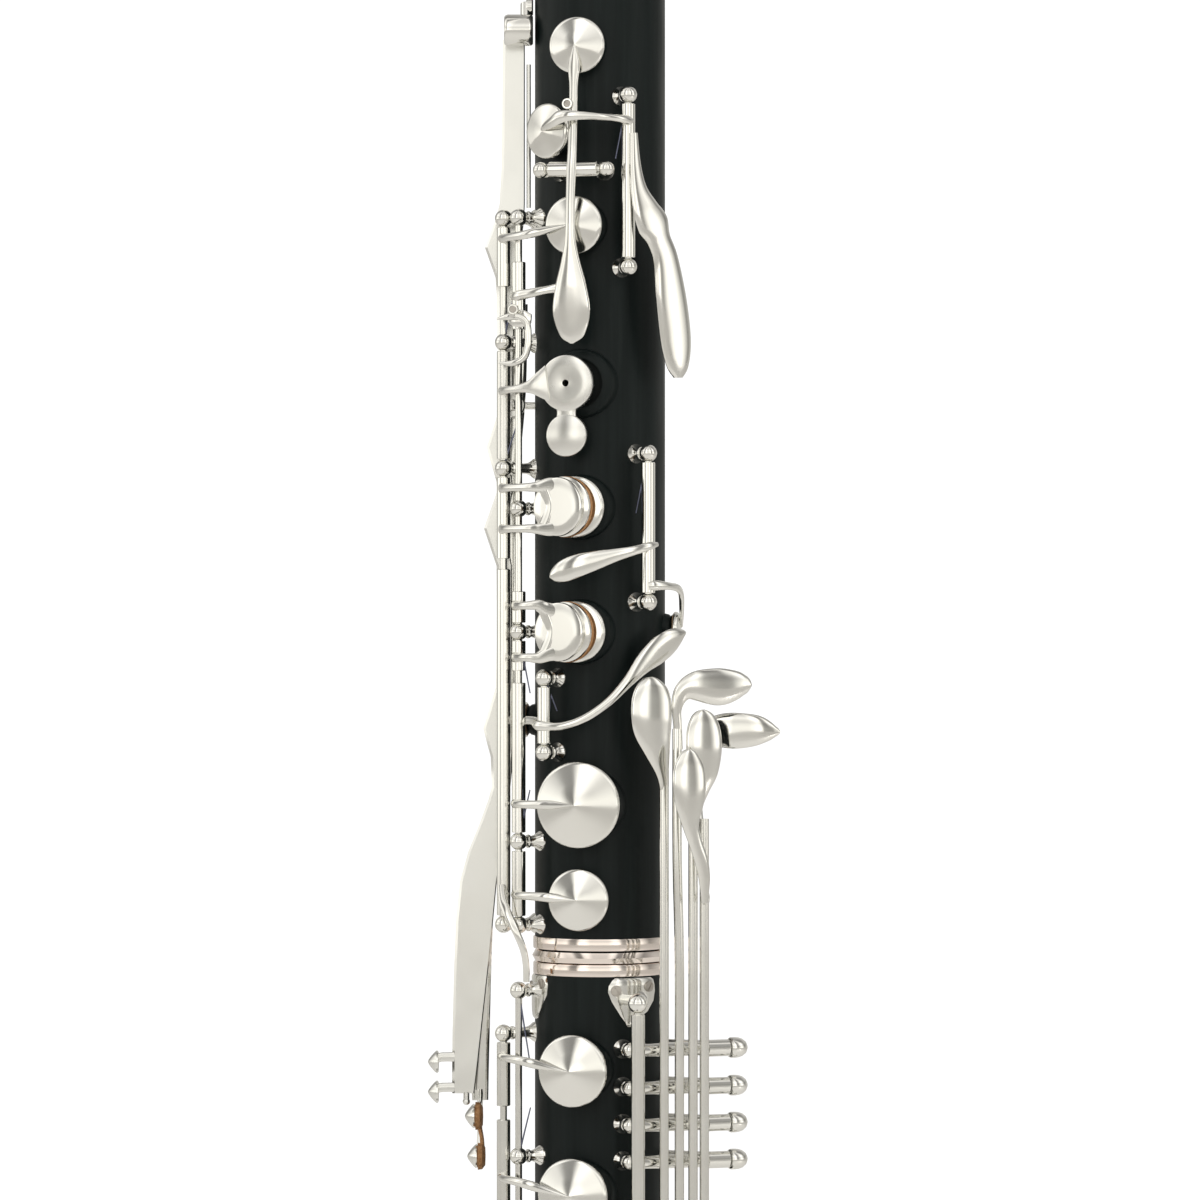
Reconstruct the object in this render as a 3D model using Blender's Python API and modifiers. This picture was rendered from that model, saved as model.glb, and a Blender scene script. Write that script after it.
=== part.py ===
"""Bass clarinet: two wooden joints, metal neck and bell, mouthpiece, floor peg and silver keywork.

Lengths are in millimetres until a piece is finished, then in metres. Heights are above the tip of the floor peg,
which is the finished origin; the bore stands BORE_BACK behind it.
The keywork is laid out in axes turned KEY_TURN about the bore: +X to the right, -Y outwards, +Z up.
A place on the keywork is given by its angle round the bore (0 outwards, positive to the right), radius and height.
"""

import math

import bmesh
import bpy
from mathutils import Matrix, Vector

MM = 0.001
BORE_BACK = 27.0         # from the floor peg back to the bore
KEY_TURN = 17.0          # degrees from the symmetry plane to the keywork's own front
GAP = 0.3                # clearance between separate pieces

# Bodies
BODY_R = 19.0
BORE_R = 11.8
SEAT_R = 17.6            # where a ring sits on the wood
RING_R = 19.6
TENON_R = 14.4
TOP = 1115.0             # top of the upper joint
SEAM_TOP = 775.2         # upper edge of the middle rings
SEAM_MID = 771.4
SEAM_LOW = 764.1
FOOT = 250.0             # bottom of the lower joint

# Tone-hole line, chimneys and cups
HOLE_LINE = -17.0
CHIMNEY_TOP = 21.3
PAD_SEAT = CHIMNEY_TOP + GAP
CUP_EDGE = 1.9
CUP_RISE = 3.0

# Hinges
ROD_R = 0.9
TUBE_R = 2.0
TUBE_BORE = 1.35
BALL_R = 2.5
END_GAP = 2.6            # from a ball's centre to the end of the tube beside it
OUTER_LINE = (-75.0, 29.0)
INNER_LINE = (-65.0, 26.0)
OUTER_FEET = -84.5       # the outer posts lean, to stand clear of the inner ones
OUTER_BALLS = (983.9, 947.9, 911.3, 778.8)
INNER_BALLS = (983.9, 899.5, 863.8, 803.0, 778.8)
G_LINE = (19.0, 25.0)
G_BALLS = (1018.4, 968.9)
SLIVER_LINE = (33.0, 25.5)
SLIVER_BALLS = (915.3, 872.4)
C_LINE = (-40.0, 25.0)
C_BALLS = (850.5, 829.0)
A_AXIS_R = 26.0
A_AXIS_Z = 996.8
A_BALL_OFFSET = 9.9

# Lower joint hinges
LOWER_OUTER_BALLS = (747.1, 560.0)
LOWER_INNER_BALLS = (759.8, 711.7, 642.0, 570.0)
RIGHT_LINE = (21.3, 30.0)
RIGHT_BALLS = (757.2, 600.0)
LOW_LINE = (52.0, 25.0)
LOW_BALLS = (560.0, 495.0, 425.0, 355.0)
LOW_CUPS = ((527.0, 12.6), (460.0, 13.2), (390.0, 13.8))      # height and radius of each low-note cup
PLATE_HEIGHTS = (664.0, 627.0, 590.0)    # the right hand's three finger plates
BACK_LINE = 163.0        # angle of the thumb rest, strap ring and register key
STRAP_Z = 745.0

# Rack of long levers: a plane whose normal is at RACK_ANGLE, crossed by four level axles
RACK_ANGLE = 20.0
AXLE_OFFSET = 25.5
LEVER_OFFSET = 31.0
AXLE_HEIGHTS = (743.4, 732.5, 721.8, 711.1)
LEVER_PLACES = (8.3, 13.0, 17.2, 20.7)
AXLE_END = 33.5
LEVER_TOPS = (830.0, 836.0, 820.0, 810.0)
LEVER_FOOT = 600.0
LEVER_STEP = 12.0        # each lever ends this much above the next
LEVER_TUBE = (2.7, 23.0)  # ends of a lever's hinge tube along its axle

# Neck, bell and peg, in the symmetry plane (back is +Y)
NECK_R = 9.5
NECK_RISE = 50.0
NECK_BEND = 52.0
NECK_TURN = 78.0
NECK_RUN = 40.0
BOW_R = 56.0
BOW_TOP = 205.0
BELL_MOUTH_Z = 372.0
BELL_WALL = 1.2
PEG_Y = -BORE_BACK
PEG_R = 4.0
PEG_TOP = 143.0
SOCKET_LOW = 100.0
SCREW_Z = 112.0          # the peg's thumb screw
LIGATURE_SCREWS = (("ligature_screw_low", 32), ("ligature_screw_high", 46))
LIGATURE_AXIS = -18.2    # the screws' line, below the mouthpiece's middle
MOUTHPIECE_LENGTH = 92.0

# Keys that stand open are built closed and then turned by this much
OPEN_TURN = -5.0

SILVER = ("silver_plate", (0.78, 0.75, 0.70, 1), 0.18, 1.0)
WOOD = ("blackwood", (0.012, 0.013, 0.013, 1), 0.45, 0.0)
RUBBER = ("hard_rubber", (0.010, 0.010, 0.011, 1), 0.3, 0.0)
CANE = ("cane", (0.72, 0.56, 0.30, 1), 0.6, 0.0)
PEG_STEEL = ("peg_metal", (0.70, 0.69, 0.67, 1), 0.28, 1.0)


def clear_scene():
    for obj in list(bpy.data.objects):
        bpy.data.objects.remove(obj, do_unlink=True)
    parts = bpy.data.collections.new("bass_clarinet")
    bpy.context.scene.collection.children.link(parts)
    return parts


PARTS = clear_scene()


def material(spec):
    name, colour, rough, metal = spec
    found = bpy.data.materials.get(name)
    if found:
        return found
    made = bpy.data.materials.new(name)
    made.use_nodes = True
    shader = made.node_tree.nodes["Principled BSDF"]
    shader.inputs["Base Color"].default_value = colour
    shader.inputs["Roughness"].default_value = rough
    shader.inputs["Metallic"].default_value = metal
    return made


# ---------------------------------------------------------------- places

def out(angle):
    """Unit vector pointing outwards at an angle round the bore."""
    a = math.radians(angle)
    return Vector((math.sin(a), -math.cos(a), 0))


def along(angle):
    """Unit vector running round the bore, to the right, at an angle."""
    a = math.radians(angle)
    return Vector((math.cos(a), math.sin(a), 0))


def at(angle, radius, height):
    return out(angle) * radius + Vector((0, 0, height))


def rack(offset, place, height):
    """A place on the lever rack: its offset from the bore, its distance along an axle and its height."""
    return out(RACK_ANGLE) * offset + along(RACK_ANGLE) * place + Vector((0, 0, height))


def aligned(origin, direction, side=None):
    """Matrix at origin whose Z is direction and whose X is near side."""
    z = direction.normalized()
    hint = side if side else (Vector((0, 0, 1)) if abs(z.z) < 0.9 else Vector((1, 0, 0)))
    y = z.cross(hint).normalized()
    x = y.cross(z)
    turn = Matrix((x, y, z)).transposed().to_4x4()
    return Matrix.Translation(origin) @ turn


# ---------------------------------------------------------------- solids

def as_object(mesh_data, name="piece"):
    mesh = bpy.data.meshes.new(name)
    bmesh.ops.recalc_face_normals(mesh_data, faces=mesh_data.faces)
    mesh_data.to_mesh(mesh)
    mesh_data.free()
    obj = bpy.data.objects.new(name, mesh)
    PARTS.objects.link(obj)
    return obj


def rod(start, end, radius, end_radius=None, sides=8):
    data = bmesh.new()
    matrix = aligned((start + end) / 2, end - start)
    last = radius if end_radius is None else end_radius
    bmesh.ops.create_cone(data, cap_ends=True, segments=sides, radius1=radius, radius2=last,
                          depth=(end - start).length, matrix=matrix)
    return as_object(data)


def ball(centre, radius, across=7, down=4):
    data = bmesh.new()
    bmesh.ops.create_uvsphere(data, u_segments=across, v_segments=down, radius=radius,
                              matrix=Matrix.Translation(centre) @ Matrix.Rotation(0.3, 4, "Z"))
    return as_object(data)


def box(centre, size, turn=None):
    data = bmesh.new()
    matrix = Matrix.Translation(centre) @ (turn or Matrix()) @ Matrix.Diagonal((*size, 1))
    bmesh.ops.create_cube(data, size=1, matrix=matrix)
    return as_object(data)


def turned(profile, matrix=None, steps=24, closed=False):
    """A profile of (radius, height) points, top to bottom down its outer side, turned about Z."""
    mesh = bpy.data.meshes.new("profile")
    edges = [(i, i + 1) for i in range(len(profile) - 1)]
    if closed:
        edges.append((len(profile) - 1, 0))
    mesh.from_pydata([(r, 0, z) for r, z in profile], edges, [])
    guide = bpy.data.objects.new("profile", mesh)
    PARTS.objects.link(guide)
    screw = guide.modifiers.new("turn", "SCREW")
    screw.steps = steps
    screw.render_steps = steps
    screw.use_merge_vertices = True
    screw.merge_threshold = 0.0001
    made = baked(guide)
    if matrix:
        made.data.transform(matrix)
    return made


def loft(stations, sides=8):
    """Closed solid through oval sections, each a centre and its two half-axes."""
    data = bmesh.new()
    rings = []
    for centre, half_a, half_b in stations:
        ring = []
        for i in range(sides):
            a = 2 * math.pi * (i + 0.5) / sides
            ring.append(data.verts.new(centre + half_a * math.cos(a) + half_b * math.sin(a)))
        rings.append(ring)
    for low, high in zip(rings, rings[1:]):
        for i in range(sides):
            j = (i + 1) % sides
            data.faces.new((low[i], low[j], high[j], high[i]))
    data.faces.new(rings[0])
    data.faces.new(rings[-1])
    return as_object(data)


def baked(obj):
    """The object with its modifiers made real."""
    graph = bpy.context.evaluated_depsgraph_get()
    graph.update()
    mesh = bpy.data.meshes.new_from_object(obj.evaluated_get(graph))
    data = bmesh.new()
    data.from_mesh(mesh)
    bmesh.ops.remove_doubles(data, verts=data.verts, dist=0.0001)
    bmesh.ops.recalc_face_normals(data, faces=data.faces)
    data.to_mesh(mesh)
    data.free()
    fresh = bpy.data.objects.new(obj.name, mesh)
    PARTS.objects.link(fresh)
    bpy.data.objects.remove(obj, do_unlink=True)
    return fresh


def combined(base, others, operation):
    for other in others:
        step = base.modifiers.new("combine", "BOOLEAN")
        step.operation = operation
        step.object = other
    made = baked(base)
    for other in others:
        bpy.data.objects.remove(other, do_unlink=True)
    return made


def joined(pieces):
    return combined(pieces[0], pieces[1:], "UNION") if len(pieces) > 1 else pieces[0]


def cut(base, cutters):
    return combined(base, cutters, "DIFFERENCE")


def finish(obj, name, look, pivot=None, keywork=True):
    """Name, scale to metres, turn into the instrument's axes and put the origin on the pivot."""
    turn = Matrix.Rotation(math.radians(KEY_TURN if keywork else 0), 4, "Z")
    to_metres = Matrix.Scale(MM, 4) @ Matrix.Translation((0, BORE_BACK, 0)) @ turn
    origin = to_metres @ (pivot or Vector((0, 0, 0)))
    obj.data.transform(Matrix.Translation(-origin) @ to_metres)
    obj.location = origin
    obj.name = name
    obj.data.name = name
    obj.data.materials.clear()
    obj.data.materials.append(material(look))
    obj.data.shade_smooth()
    obj.data.set_sharp_from_angle(angle=math.radians(35))
    return obj


# ---------------------------------------------------------------- keywork pieces

def hinge_tube(start, end):
    return rod(start, end, TUBE_R)


def line_tube(line, low, high):
    return hinge_tube(at(*line, low), at(*line, high))


def arm(points, wide, thick, up=Vector((0, 0, 1))):
    """A bar of oval section through points; wide and thick hold each point's half sizes along `up` and outwards."""
    stations = []
    for i, point in enumerate(points):
        before = points[max(i - 1, 0)]
        after = points[min(i + 1, len(points) - 1)]
        path = (after - before).normalized()
        across = path.cross(up).cross(path).normalized()
        outwards = path.cross(across).normalized()
        stations.append((point, across * wide[i], outwards * thick[i]))
    return loft(stations, sides=6)


def cup(angle, height, radius, seat=PAD_SEAT, rise=CUP_RISE, steps=12):
    """A key cup with a shallow cone on top, its flat pad side facing the body."""
    place = aligned(at(angle, seat, height), out(angle))
    profile = [(0, rise), (radius * 0.97, CUP_EDGE), (radius, CUP_EDGE * 0.75), (radius, 0), (0, 0)]
    return turned(profile, place, steps)


def plate(angle, height, radius, seat, thickness, shift=0.0):
    place = aligned(at(angle, seat, height) + along(angle) * shift, out(angle))
    rim = thickness * 0.25
    return turned([(0, thickness), (radius - rim, thickness), (radius, thickness - rim), (radius, 0), (0, 0)],
                  place, 12)


def spoon(points, widths, thickness=0.9):
    """A finger touch: a thin leaf through points, face outwards, with each point's half width."""
    stations = []
    for i, point in enumerate(points):
        before = points[max(i - 1, 0)]
        after = points[min(i + 1, len(points) - 1)]
        path = (after - before).normalized()
        radial = Vector((point.x, point.y, 0)).normalized()
        side = path.cross(radial).normalized()
        face = side.cross(path).normalized()
        stations.append((point, side * widths[i], face * thickness))
    return loft(stations, sides=8)


def bored(pieces, start, end):
    """Join a key's pieces and drill the hinge bore right through them."""
    way = (end - start).normalized()
    return cut(joined(pieces), [rod(start - way, end + way, TUBE_BORE, sides=6)])


def bored_line(pieces, line, low, high):
    return bored(pieces, at(*line, low), at(*line, high))


def post(centre, radius=BALL_R, foot_angle=None):
    """A ball-headed post standing on the wood: ball, tapered stem and flared base."""
    outwards = Vector((centre.x, centre.y, 0)).normalized() if foot_angle is None else out(foot_angle)
    base = outwards * (BODY_R + GAP) + Vector((0, 0, centre.z))
    return [ball(centre, radius),
            rod(centre, base + outwards * 0.5, 1.3, 1.4, 6),
            rod(base + outwards * 1.5, base, 1.7, 2.8, 7)]


def post_set(line, heights, foot_angle=None):
    pieces = [rod(at(*line, heights[0]), at(*line, heights[-1]), ROD_R)]
    for height in heights:
        pieces += post(at(*line, height), foot_angle=foot_angle)
    return joined(pieces)


def turn_open(obj, line, degrees):
    """Turn a finished-shape key about its hinge line, before it is scaled."""
    pivot = at(*line, 0)
    spin = Matrix.Rotation(math.radians(degrees), 4, "Z")
    obj.data.transform(Matrix.Translation(pivot) @ spin @ Matrix.Translation(-pivot))
    return obj


# ---------------------------------------------------------------- wooden joints and rings

UPPER_HOLES = ((HOLE_LINE, 1032.8, 6.5), (-42, 1008.5, 6.0), (HOLE_LINE, 981.0, 6.8), (HOLE_LINE, 935.5, 9.4),
               (HOLE_LINE, 899.8, 8.6), (HOLE_LINE, 863.8, 8.6), (-13, 814.0, 10.4), (-16, 786.6, 7.2),
               (84, 865.0, 3.6), (-100, 838.0, 4.4), (163, 1003.0, 3.6))
LOWER_HOLES = ((HOLE_LINE, 737.6, 8.4), (HOLE_LINE, 701.6, 9.4), (HOLE_LINE, 664.0, 9.2), (HOLE_LINE, 627.0, 9.2),
               (HOLE_LINE, 590.0, 9.2), (-5, 527.0, 11.6), (-5, 460.0, 12.2), (-5, 390.0, 12.6))


def chimneyed(shell, holes):
    """Raise a chimney for each tone hole and drill it through to the bore."""
    chimneys = [rod(at(a, 16, z), at(a, CHIMNEY_TOP, z), r, sides=10) for a, z, r in holes]
    drills = [rod(at(a, 4, z), at(a, CHIMNEY_TOP + 3, z), r * 0.72, sides=6) for a, z, r in holes]
    return cut(combined(shell, chimneys, "UNION"), drills)


def upper_joint():
    profile = [(BORE_R, TOP), (BODY_R - 1, TOP), (BODY_R, TOP - 1), (BODY_R, SEAM_TOP),
               (SEAT_R, SEAM_TOP), (SEAT_R, SEAM_MID + GAP), (TENON_R, SEAM_MID + GAP), (TENON_R, 746),
               (BORE_R, 746)]
    finish(chimneyed(turned(profile, steps=22, closed=True), UPPER_HOLES), "upper_joint", WOOD)


def lower_joint():
    socket = TENON_R + GAP
    profile = [(socket, SEAM_MID), (SEAT_R, SEAM_MID), (SEAT_R, SEAM_LOW), (BODY_R, SEAM_LOW), (BODY_R, FOOT + 8),
               (SEAT_R, FOOT + 8), (SEAT_R, FOOT), (BORE_R, FOOT), (BORE_R, 745), (socket, 745)]
    finish(chimneyed(turned(profile, steps=22, closed=True), LOWER_HOLES), "lower_joint", WOOD)


def ring(name, high, low, groove=False):
    inner = SEAT_R + GAP
    edge = 0.4
    outside = [(RING_R - edge, high), (RING_R, high - edge)]
    if groove:
        mid = (high + low) / 2
        outside += [(RING_R, mid + 0.5), (RING_R - edge, mid), (RING_R, mid - 0.5)]
    outside += [(RING_R, low + edge), (RING_R - edge, low)]
    finish(turned([(inner, high)] + outside + [(inner, low)], steps=24, closed=True), name, SILVER)


# ---------------------------------------------------------------- fixed hinge posts

def level_axis(angle, radius, height, offset):
    centre = at(angle, radius, height)
    return centre - along(angle) * offset, centre + along(angle) * offset


def a_key_posts():
    left, right = level_axis(HOLE_LINE, A_AXIS_R, A_AXIS_Z, A_BALL_OFFSET)
    pieces = [rod(left, right, ROD_R, sides=8)] + post(left, 2.3) + post(right, 2.3)
    finish(joined(pieces), "a_key_posts", SILVER)


def lower_right_posts():
    """The lower joint's right-hand hinge: a three-cornered plate under its first ball."""
    head = at(*RIGHT_LINE, RIGHT_BALLS[0])
    flat = aligned(at(14, BODY_R + GAP + 0.4, 757.0), out(14), Vector((1, 0, 0)))
    outline = bmesh.new()
    corners = [(-7.0, 4.5), (-5.0, 6.0), (7.0, 6.0), (8.5, 4.5), (3.2, -8.0), (1.6, -8.0)]
    lower = [outline.verts.new(flat @ Vector((x, y, -0.4))) for x, y in corners]
    upper = [outline.verts.new(flat @ Vector((x, y, 0.9))) for x, y in corners]
    outline.faces.new(lower)
    outline.faces.new(upper)
    for i in range(len(corners)):
        j = (i + 1) % len(corners)
        outline.faces.new((lower[i], lower[j], upper[j], upper[i]))
    seat = at(RIGHT_LINE[0], BODY_R + GAP + 0.9, RIGHT_BALLS[0])
    pieces = [as_object(outline), rod(seat, head, 2.2, 1.6), ball(head, 2.8),
              rod(head, at(*RIGHT_LINE, RIGHT_BALLS[1]), ROD_R, sides=8)]
    pieces += post(at(*RIGHT_LINE, RIGHT_BALLS[1]))
    finish(joined(pieces), "lower_right_posts", SILVER)


def lever_axles():
    for number, height in enumerate(AXLE_HEIGHTS, 1):
        left, right = rack(AXLE_OFFSET, 0, height), rack(AXLE_OFFSET, AXLE_END, height)
        foot = (right.xy.normalized() * (BODY_R + GAP)).to_3d() + Vector((0, 0, height))
        pieces = [rod(left, right, ROD_R, sides=8)] + post(left, 2.2)
        pieces += [ball(right, 2.9), rod(right, foot, 1.6, 1.9)]
        finish(joined(pieces), f"lever_axle_{number}", SILVER)


# ---------------------------------------------------------------- upper joint keys

def throat_a_key():
    left, right = level_axis(HOLE_LINE, A_AXIS_R, A_AXIS_Z, A_BALL_OFFSET - 2.6)
    places = [at(HOLE_LINE, r, z) for r, z in
              ((24.2, 1033), (25.4, 1024), (26.2, 1015), (27.4, 1003), (28.2, 996.8), (29.2, 986), (29.3, 978))]
    stem = spoon(places, [1.0, 1.5, 1.5, 1.6, 1.7, 1.5, 1.4])
    leaf = [at(HOLE_LINE, r, z) for r, z in
            ((29.2, 979), (28.9, 973), (28.6, 967), (28.2, 960), (27.6, 953), (27.2, 948.5), (27.1, 947))]
    touch = spoon(leaf, [1.4, 2.0, 3.6, 5.3, 5.4, 3.2, 1.0])
    key = bored([cup(HOLE_LINE, 1032.8, 8.2), stem, touch, hinge_tube(left, right)], left, right)
    finish(key, "throat_a_key", SILVER, at(HOLE_LINE, A_AXIS_R, A_AXIS_Z))


def throat_g_sharp_key():
    low, high = G_BALLS[1] + END_GAP, G_BALLS[0] - END_GAP
    over = [at(a, r, z) for a, r, z in ((19, 26.4, 1009), (12, 28.6, 1010), (0, 30.2, 1011.4), (-17, 30.4, 1011.6),
                                        (-28, 28.6, 1010.5), (-36, 26.0, 1009.3), (-42, 24.3, 1008.5))]
    lever = [at(a, r, z) for a, r, z in ((22.5, 26.6, 1006), (24, 26.6, 1000), (25, 26.6, 990), (28, 26.6, 981),
                                         (38, 26.8, 976), (50, 27.2, 970), (56, 27.4, 962))]
    leaf = [at(a, r, z) for a, r, z in ((54, 27.3, 965), (58, 27.4, 959), (60, 27.2, 952), (61, 27, 945),
                                        (62, 26.6, 939), (62, 26.5, 937))]
    pieces = [line_tube(G_LINE, low, high), arm(over, [1.6, 1.5, 1.4, 1.5, 1.5, 1.3, 0.8], [0.9] * 7),
              spoon(lever, [0.7, 1.5, 1.6, 2.0, 2.1, 2.4, 2.6]), spoon(leaf, [2.4, 3.6, 4.6, 4.8, 3.0, 1.0]),
              cup(-42, 1008.5, 7.6)]
    finish(bored_line(pieces, G_LINE, low, high), "throat_g_sharp_key", SILVER, at(*G_LINE, 990))


def over_arm(line, height, angle, top, wide=1.5):
    """An arm from the outer or inner line, over the inner line's tube, to the middle of a cup."""
    start = line[0]
    rise = line[1] + (0.6 if line is OUTER_LINE else 2.2)
    points = [at(start, rise, height), at(start + 10, 30.2 if line is OUTER_LINE else 28.6, height),
              at(start + 25, 29.2 if line is OUTER_LINE else 27.6, height),
              at((start + 32 + angle) / 2, 26.9, height), at(angle, 24.2, top)]
    return arm(points, [wide * 1.1, wide, wide, wide * 0.9, wide * 0.5], [1.0, 0.9, 0.9, 0.9, 0.7])


def padded_key(name, line, low, high, arm_at, angle, height, radius, stands_open=False):
    """A cup on one arm from a vertical hinge line."""
    pieces = [line_tube(line, low, high), over_arm(line, arm_at, angle, height), cup(angle, height, radius)]
    key = bored_line(pieces, line, low, high)
    if stands_open:
        turn_open(key, line, OPEN_TURN)
    finish(key, name, SILVER, at(*line, (low + high) / 2))


def fork_arms(line, heights, angle, middle, edge_radius):
    """Two arms that meet in a finger plate, with a post between them."""
    arms = []
    rise = line[1] + (0.6 if line is OUTER_LINE else 2.2)
    for height in heights:
        points = [at(line[0], rise, height), at(line[0] + 10, 30.2 if line is OUTER_LINE else 28.9, height),
                  at(line[0] + 24, 29.0 if line is OUTER_LINE else 28.0, height + (middle - height) * 0.15),
                  at(angle - edge_radius * 2.6, 26.6, height + (middle - height) * 0.45),
                  at(angle - edge_radius * 1.4, 25.2, height + (middle - height) * 0.75)]
        arms.append(arm(points, [1.6, 1.5, 1.5, 2.2, 2.8], [1.0, 0.9, 0.9, 0.9, 0.8]))
    return arms


def finger_plate(name, line, tubes, arms_at, height):
    """An open-standing plateau: a wide cup with a smaller touch plate on it, carried by a forked arm."""
    angle = HOLE_LINE
    pieces = [line_tube(line, low, high) for low, high in tubes]
    pieces += fork_arms(line, arms_at, angle, height, 8.2)
    pieces += [plate(angle, height, 9.4, PAD_SEAT, 2.6, 0.6), plate(angle, height, 8.2, PAD_SEAT + 2.2, 2.0, -1.4)]
    key = bored_line(pieces, line, tubes[-1][0], tubes[0][1])
    turn_open(key, line, OPEN_TURN)
    finish(key, name, SILVER, at(*line, height))


def left_index_plate():
    line, low, high = OUTER_LINE, OUTER_BALLS[2] + END_GAP, OUTER_BALLS[1] - END_GAP
    seat = PAD_SEAT + 0.4
    neck = box(at(HOLE_LINE, seat + 1.0, 928.0), (5.0, 1.6, 8.0), Matrix.Rotation(math.radians(HOLE_LINE), 4, "Z"))
    pieces = [line_tube(line, low, high), over_arm(line, 934.0, HOLE_LINE - 14, 935.2, 1.9),
              plate(HOLE_LINE, 935.5, 8.4, seat, 2.0), plate(HOLE_LINE, 920.6, 6.2, seat, 1.9), neck]
    key = bored_line(pieces, line, low, high)
    vent = rod(at(HOLE_LINE, seat - 2, 935.5), at(HOLE_LINE, seat + 5, 935.5), 1.0, sides=10)
    key = cut(key, [vent])
    turn_open(key, line, OPEN_TURN)
    finish(key, "left_index_plate", SILVER, at(*line, 929))


def linkage_key():
    """Short lever of the vent mechanism, with a tip under the throat A touch and a flat spade on the left."""
    low, high = 951.5, 971.0
    tip = [at(a, r, z) for a, r, z in ((-65, 27.6, 961), (-55, 26.2, 961.5), (-42, 23.6, 962.5),
                                       (-31, 21.6, 963.2))]
    spade = [at(a, r, z) for a, r, z in ((-65, 27.4, 955), (-60, 28.0, 954.6), (-54, 27.0, 954.4))]
    pieces = [line_tube(INNER_LINE, low, high), arm(tip, [1.3, 1.2, 1.1, 1.4], [0.8, 0.8, 0.7, 0.5]),
              arm(spade, [2.0, 2.4, 2.2], [0.8, 0.8, 0.7])]
    finish(bored_line(pieces, INNER_LINE, low, high), "linkage_key", SILVER, at(*INNER_LINE, 961))


def sliver_key():
    low, high = SLIVER_BALLS[1] + END_GAP, SLIVER_BALLS[0] - END_GAP
    touch = [at(a, r, z) for a, r, z in ((-31, 27.0, 879.8), (-27, 27.4, 880.6), (-20, 27.8, 881.8), (-10, 28.0, 883.4),
                                         (5, 28.0, 885.4), (20, 28.2, 887.3), (34, 28.0, 888.6), (38, 27.4, 888.8))]
    lower = [at(a, r, z) for a, r, z in ((34, 27.2, 877.2), (44, 27.4, 876.8), (56, 26.6, 876.4), (68, 25.2, 875),
                                         (77, 24.2, 871), (82, 23.6, 866.4))]
    pieces = [line_tube(SLIVER_LINE, low, high), spoon(touch, [0.9, 2.4, 3.2, 3.3, 2.5, 1.9, 1.5, 0.9]),
              arm(lower, [1.3, 1.2, 1.2, 1.2, 1.2, 0.9], [0.9, 0.8, 0.8, 0.8, 0.8, 0.7]),
              cup(84, 865.0, 4.6, rise=2.3, steps=16)]
    finish(bored_line(pieces, SLIVER_LINE, low, high), "sliver_key", SILVER, at(*SLIVER_LINE, 893))


def c_sharp_key():
    low, high = C_BALLS[1] + END_GAP, C_BALLS[0] - END_GAP
    lever = [at(a, r, z) for a, r, z in ((-40, 26.6, 835), (-30, 27.0, 836), (-14, 26.4, 837.4), (2, 25.8, 840),
                                         (16, 25.3, 844.6), (28, 25.0, 849.4))]
    leaf = [at(a, r, z) for a, r, z in ((22, 25.1, 846.8), (30, 24.9, 850.4), (38, 24.8, 855), (46, 24.8, 859.6),
                                        (53, 24.8, 863.2), (58, 24.6, 865.4), (60, 24.6, 866))]
    tail = [at(a, r, z) for a, r, z in ((-41, 23.4, 837), (-50, 21.6, 837.5), (-65, 21.4, 838), (-82, 22.7, 838),
                                        (-100, 23.4, 838))]
    pieces = [line_tube(C_LINE, low, high), spoon(lever, [1.5, 1.4, 1.4, 1.5, 1.7, 2.6]),
              spoon(leaf, [1.6, 2.8, 4.2, 4.8, 4.2, 2.4, 0.8]),
              arm(tail, [1.3, 1.2, 1.2, 1.2, 1.0], [0.8, 0.7, 0.7, 0.7, 0.7]),
              cup(-100, 838.0, 5.2, rise=2.2, steps=16)]
    finish(bored_line(pieces, C_LINE, low, high), "c_sharp_key", SILVER, at(*C_LINE, 840))


def bridge_key():
    """Long tube on the outer line that carries the motion across the middle rings."""
    low, high = OUTER_BALLS[3] + END_GAP, 882.0
    foot = [at(-75, 30.6, 787), at(-75, 32.8, 782), at(-73, 33.0, 776), at(-70, 31.0, 770), at(-68, 28.6, 763.4)]
    pieces = [line_tube(OUTER_LINE, low, high), spoon(foot, [1.5, 1.5, 1.5, 1.8, 2.0], 0.7)]
    finish(bored_line(pieces, OUTER_LINE, low, high), "bridge_key", SILVER, at(*OUTER_LINE, 830))


# ---------------------------------------------------------------- side trill levers

TRILL_PIVOT = (-25.5, -4.5, 930.0)       # right, outwards and up
TRILL_THICK = 0.8
SHORT_PIVOT = (-25.5, -11.0, 930.0)


def side(right, outwards, height):
    return Vector((right, -outwards, height))


def flat_bar(places, depth, thick):
    """A flat bar facing the keywork's front, through (right, height, half width) places."""
    corner = math.sqrt(2)
    stations = [(side(x, depth, z), Vector((w * corner, 0, 0)), Vector((0, thick * corner, 0)))
                for x, z, w in places]
    return loft(stations, sides=4)


def button(right, depth, height, radius):
    """A domed touch facing left."""
    place = aligned(side(right, depth, height), Vector((-1, 0, 0)))
    return turned([(0, 2.0), (radius * 0.6, 1.5), (radius, 0.3), (radius * 0.9, -0.6), (0, -0.6)], place, 12)


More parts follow.
